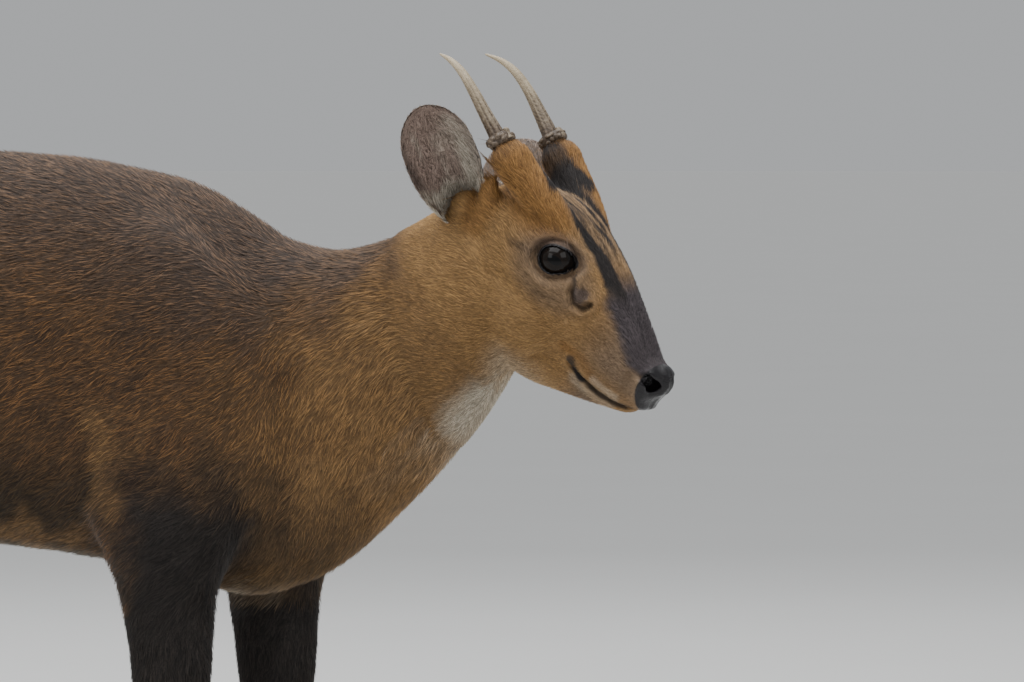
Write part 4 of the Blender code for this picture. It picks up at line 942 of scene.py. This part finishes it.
for side, name in ((-1, "eye_right"), (1, "eye_left")):
    out, along, up = eye_axes(side)
    rings, per_ring = 40, 64
    fall = (math.pi * np.arange(rings + 1) / rings)[:, None, None]
    turn = round_turn(per_ring)[None, :, None]
    way = out * np.cos(fall) + (along * np.cos(turn) + up * np.sin(turn)) * np.sin(fall)
    points = EYE_AT[side] + (way * EYE_RADIUS * (1 + 0.035 * hump(fall, 0.55))).reshape(-1, 3)
    mesh = meshed(name + "_ball", from_face(points).tolist(), tube_faces(rings + 1, per_ring))
    outward(mesh, 0.00001)
    local = to_face(points_of(mesh)) - EYE_AT[side]
    keep(mesh, "across", np.hypot((local @ along) / 0.0052, (local @ up) / 0.003))
    keep(mesh, "from_middle", np.linalg.norm(local - np.outer(local @ out, out), axis=1) / 0.009)
    eye = Finish(name, Roughness=0.1, IOR=1.38, Specular_IOR_Level=0.28)
    spokes = eye.noise(eye.node("ShaderNodeNewGeometry"), 900.0)
    iris = eye.mix(spokes, (0.004, 0.003, 0.002), (0.012, 0.007, 0.005))
    iris = eye.mix(eye.ramp(eye.read("from_middle"), (0.85, 0.0), (1.0, 1.0)), iris, (0.006, 0.005, 0.005))
    slit = eye.ramp(eye.read("across"), (0.85, 1.0), (1.0, 0.0))
    eye.set(Base_Color=eye.mix(slit, iris, (0.002, 0.002, 0.002)))
    mesh.materials.append(eye.material)
    ball = linked(name + "_ball", mesh)
    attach(ball, "root")
    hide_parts(name)

# The antlers: simple bone spikes, ivory at the worn tips and grey-brown and grooved below, each
# out of a rough beaded burr that sits on the haired pedicle, with a nub in front.
ANTLER_PATH = np.array(((-0.08, 0.0302, 0.024), (-0.0905, 0.031, 0.0283), (-0.1045, 0.0318, 0.0325),
                        (-0.1215, 0.0322, 0.0375), (-0.1365, 0.0312, 0.0402), (-0.149, 0.0292, 0.0392),
                        (-0.1595, 0.0262, 0.0355)))
ANTLER_RADII = (0.0068, 0.005, 0.0042, 0.0035, 0.0028, 0.0019, 0.0006)
BURR_AT, BURR_WAY = np.array((-0.0862, 0.0307, 0.0275)), unit(np.array((-0.94, 0.0, 0.34)))


def bent(path, count):
    """Even places along a smooth curve through these points."""
    path = np.vstack([2 * path[0] - path[1], path, 2 * path[-1] - path[-2]])
    at = np.linspace(0, len(path) - 3 - 1e-9, count)
    k, t = at.astype(int), (at % 1)[:, None]
    a, b, c, d = path[k], path[k + 1], path[k + 2], path[k + 3]
    return b + 0.5 * t * (c - a + t * (2 * a - 5 * b + 4 * c - d + t * (3 * (b - c) + d - a)))


def stalk_mesh(name, path, radius, at_tip, sunken):
    """A closed tube along a path, from tables of rows along it by columns around it."""
    rows, around = radius.shape
    way = unit(np.gradient(path, axis=0))
    aside = unit(np.cross(way, (0.3, 1.0, 0.2)))
    other = np.cross(way, aside)
    turn = round_turn(around)
    spokes = aside[:, None] * np.cos(turn)[None, :, None] + other[:, None] * np.sin(turn)[None, :, None]
    points = np.vstack([(path[:, None] + spokes * radius[..., None]).reshape(-1, 3), path[:1], path[-1:]])
    faces = tube_faces(rows, around)
    end = (rows - 1) * around
    for k in range(around):
        faces += [(rows * around, (k + 1) % around, k), (rows * around + 1, end + k, end + (k + 1) % around)]
    mesh = meshed(name, from_face(points).tolist(), faces)
    outward(mesh)
    at_tip = np.broadcast_to(at_tip, radius.shape)
    keep(mesh, "at_tip", np.append(at_tip.ravel(), (at_tip[0, 0], at_tip[-1, 0])))
    keep(mesh, "sunken", np.append(np.broadcast_to(sunken, radius.shape).ravel(), (0, 0)))
    return mesh


for side, name in ((-1, "antler_right"), (1, "antler_left")):
    rows, around = 170, 72
    path = bent(ANTLER_PATH * (1, side, 1), rows)
    t, turn = np.linspace(0, 1, rows), round_turn(around)
    radius = np.interp(t * 6, np.arange(7), ANTLER_RADII)[:, None] * np.ones((1, around))
    grid = path[:, None] + radius[..., None] * np.stack([np.cos(turn), np.sin(turn), 0 * turn], axis=1)[None]
    flutes = np.sin(7 * turn[None] + 3.0 * t[:, None] + 0.8 * np.sin(11 * t[:, None] + side))
    flutes = flutes + 0.6 * np.sin(13 * turn[None] - 2.0 * t[:, None] + 1.3)
    pits = ripple(grid.reshape(-1, 3) * (1, 1, 0.35), 0.0016, 31 + side).reshape(rows, around)
    grooved = soft(t, 0.8, 0.2)[:, None]
    radius = radius * (1 + grooved * (0.055 * flutes + 0.02 * pits))
    radius[-6:] *= np.sqrt(1 - (np.arange(6)[:, None] / 6.0) ** 2)
    hollows = np.clip(-(flutes + pits) * grooved, 0, 1.6) / 1.6
    antler_meshes = [stalk_mesh(name + "_spike", path, radius, t[:, None], hollows)]
    # The burr: rows of beads round the foot of the spike
    rows, around = 44, 120
    burr_path = BURR_AT * (1, side, 1) + BURR_WAY * np.linspace(-0.004, 0.0042, rows)[:, None]
    t, turn = np.linspace(-1, 1, rows)[:, None], round_turn(around)[None]
    chance = np.random.default_rng(50 + side)
    beads = np.zeros((rows, around))
    for bead in range(46):
        at, high = chance.uniform(0, 2 * math.pi), chance.uniform(-0.75, 0.75)
        off = np.hypot(np.angle(np.exp(1j * (turn - at))) / 0.2, (t - high) / 0.42)
        beads = np.maximum(beads, chance.uniform(0.5, 1.0) * np.sqrt(np.clip(1 - off**2, 0, 1)))
    radius = 0.006 + 0.0026 * np.sqrt(1 - 0.96 * t**2) + 0.0019 * beads * np.sqrt(1 - t**2)
    antler_meshes.append(stalk_mesh(name + "_burr", burr_path, radius, 0.12, (0.75 - beads).clip(0, 1)))
    nub = BURR_AT * (1, side, 1) + np.array((0.0022, 0, 0.006))
    nub_path = bent(np.array((nub - BURR_WAY * 0.002, nub + BURR_WAY * 0.0025, nub + BURR_WAY * 0.0062)), 24)
    taper = np.interp(np.linspace(0, 1, 24), (0, 0.6, 0.9, 1.0), (0.0036, 0.0028, 0.0016, 0.0004))[:, None]
    lumps = 1 + 0.12 * ripple(nub_path, 0.003, 60)[:, None]
    lumps = lumps + 0.06 * np.sin(3 * np.linspace(0, 2 * math.pi, 40))[None]
    antler_meshes.append(stalk_mesh(name + "_nub", nub_path, taper * lumps, 0.3, 0))
    bone = Finish(name, Roughness=0.46, Specular_IOR_Level=0.4)
    place, at_tip = bone.node("ShaderNodeNewGeometry"), bone.read("at_tip")
    grain = bone.noise(place, 420.0, 5.0, 0.7)
    stain = bone.mix(bone.ramp(grain, (0.35, 0.0), (0.65, 1.0)), (0.05, 0.034, 0.023), (0.22, 0.165, 0.115))
    ivory = bone.mix(grain, (0.34, 0.255, 0.15), (0.62, 0.53, 0.38))
    worn = bone.ramp(at_tip + (bone.noise(place, 90.0) - 0.5) * 0.35, (0.2, 0.0), (0.74, 1.0))
    sunken = bone.read("sunken")
    hue = bone.mix(worn, stain, ivory)
    bone.set(Base_Color=bone.mix(sunken * (1.0 - worn * 0.6), hue, (0.05, 0.032, 0.02)))
    bone.set(Normal=bone.bump(bone.noise(place, 900.0, 4.0), 0.0004, 0.5))
    for number, mesh in enumerate(antler_meshes):
        mesh.materials.append(bone.material)
        piece = linked(mesh.name, mesh)
        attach(piece, "root")
        if number == 0:
            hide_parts(name)

# Hooves and dewclaws: dark horn, dull and finely ringed. They are the solids' own forms, two to
# each foot with the two small dewclaws behind and above.
horn = Finish("hoof", Roughness=0.55, Specular_IOR_Level=0.25)
place = horn.node("ShaderNodeNewGeometry")
rings = horn.node("ShaderNodeTexWave", {"bands_direction": "Z"},
                  {"Vector": place, "Scale": 95.0, "Distortion": 1.5}, 1)
horn.set(Base_Color=horn.mix(horn.noise(place, 180.0, 4.0), (0.008, 0.007, 0.006), (0.024, 0.02, 0.017)))
horn.set(Normal=horn.bump(rings, 0.0004, 0.4))
for name, node in nodes.items():
    if name.startswith(("hoof", "dewclaw")):
        node.data.materials.clear()
        node.data.materials.append(horn.material)
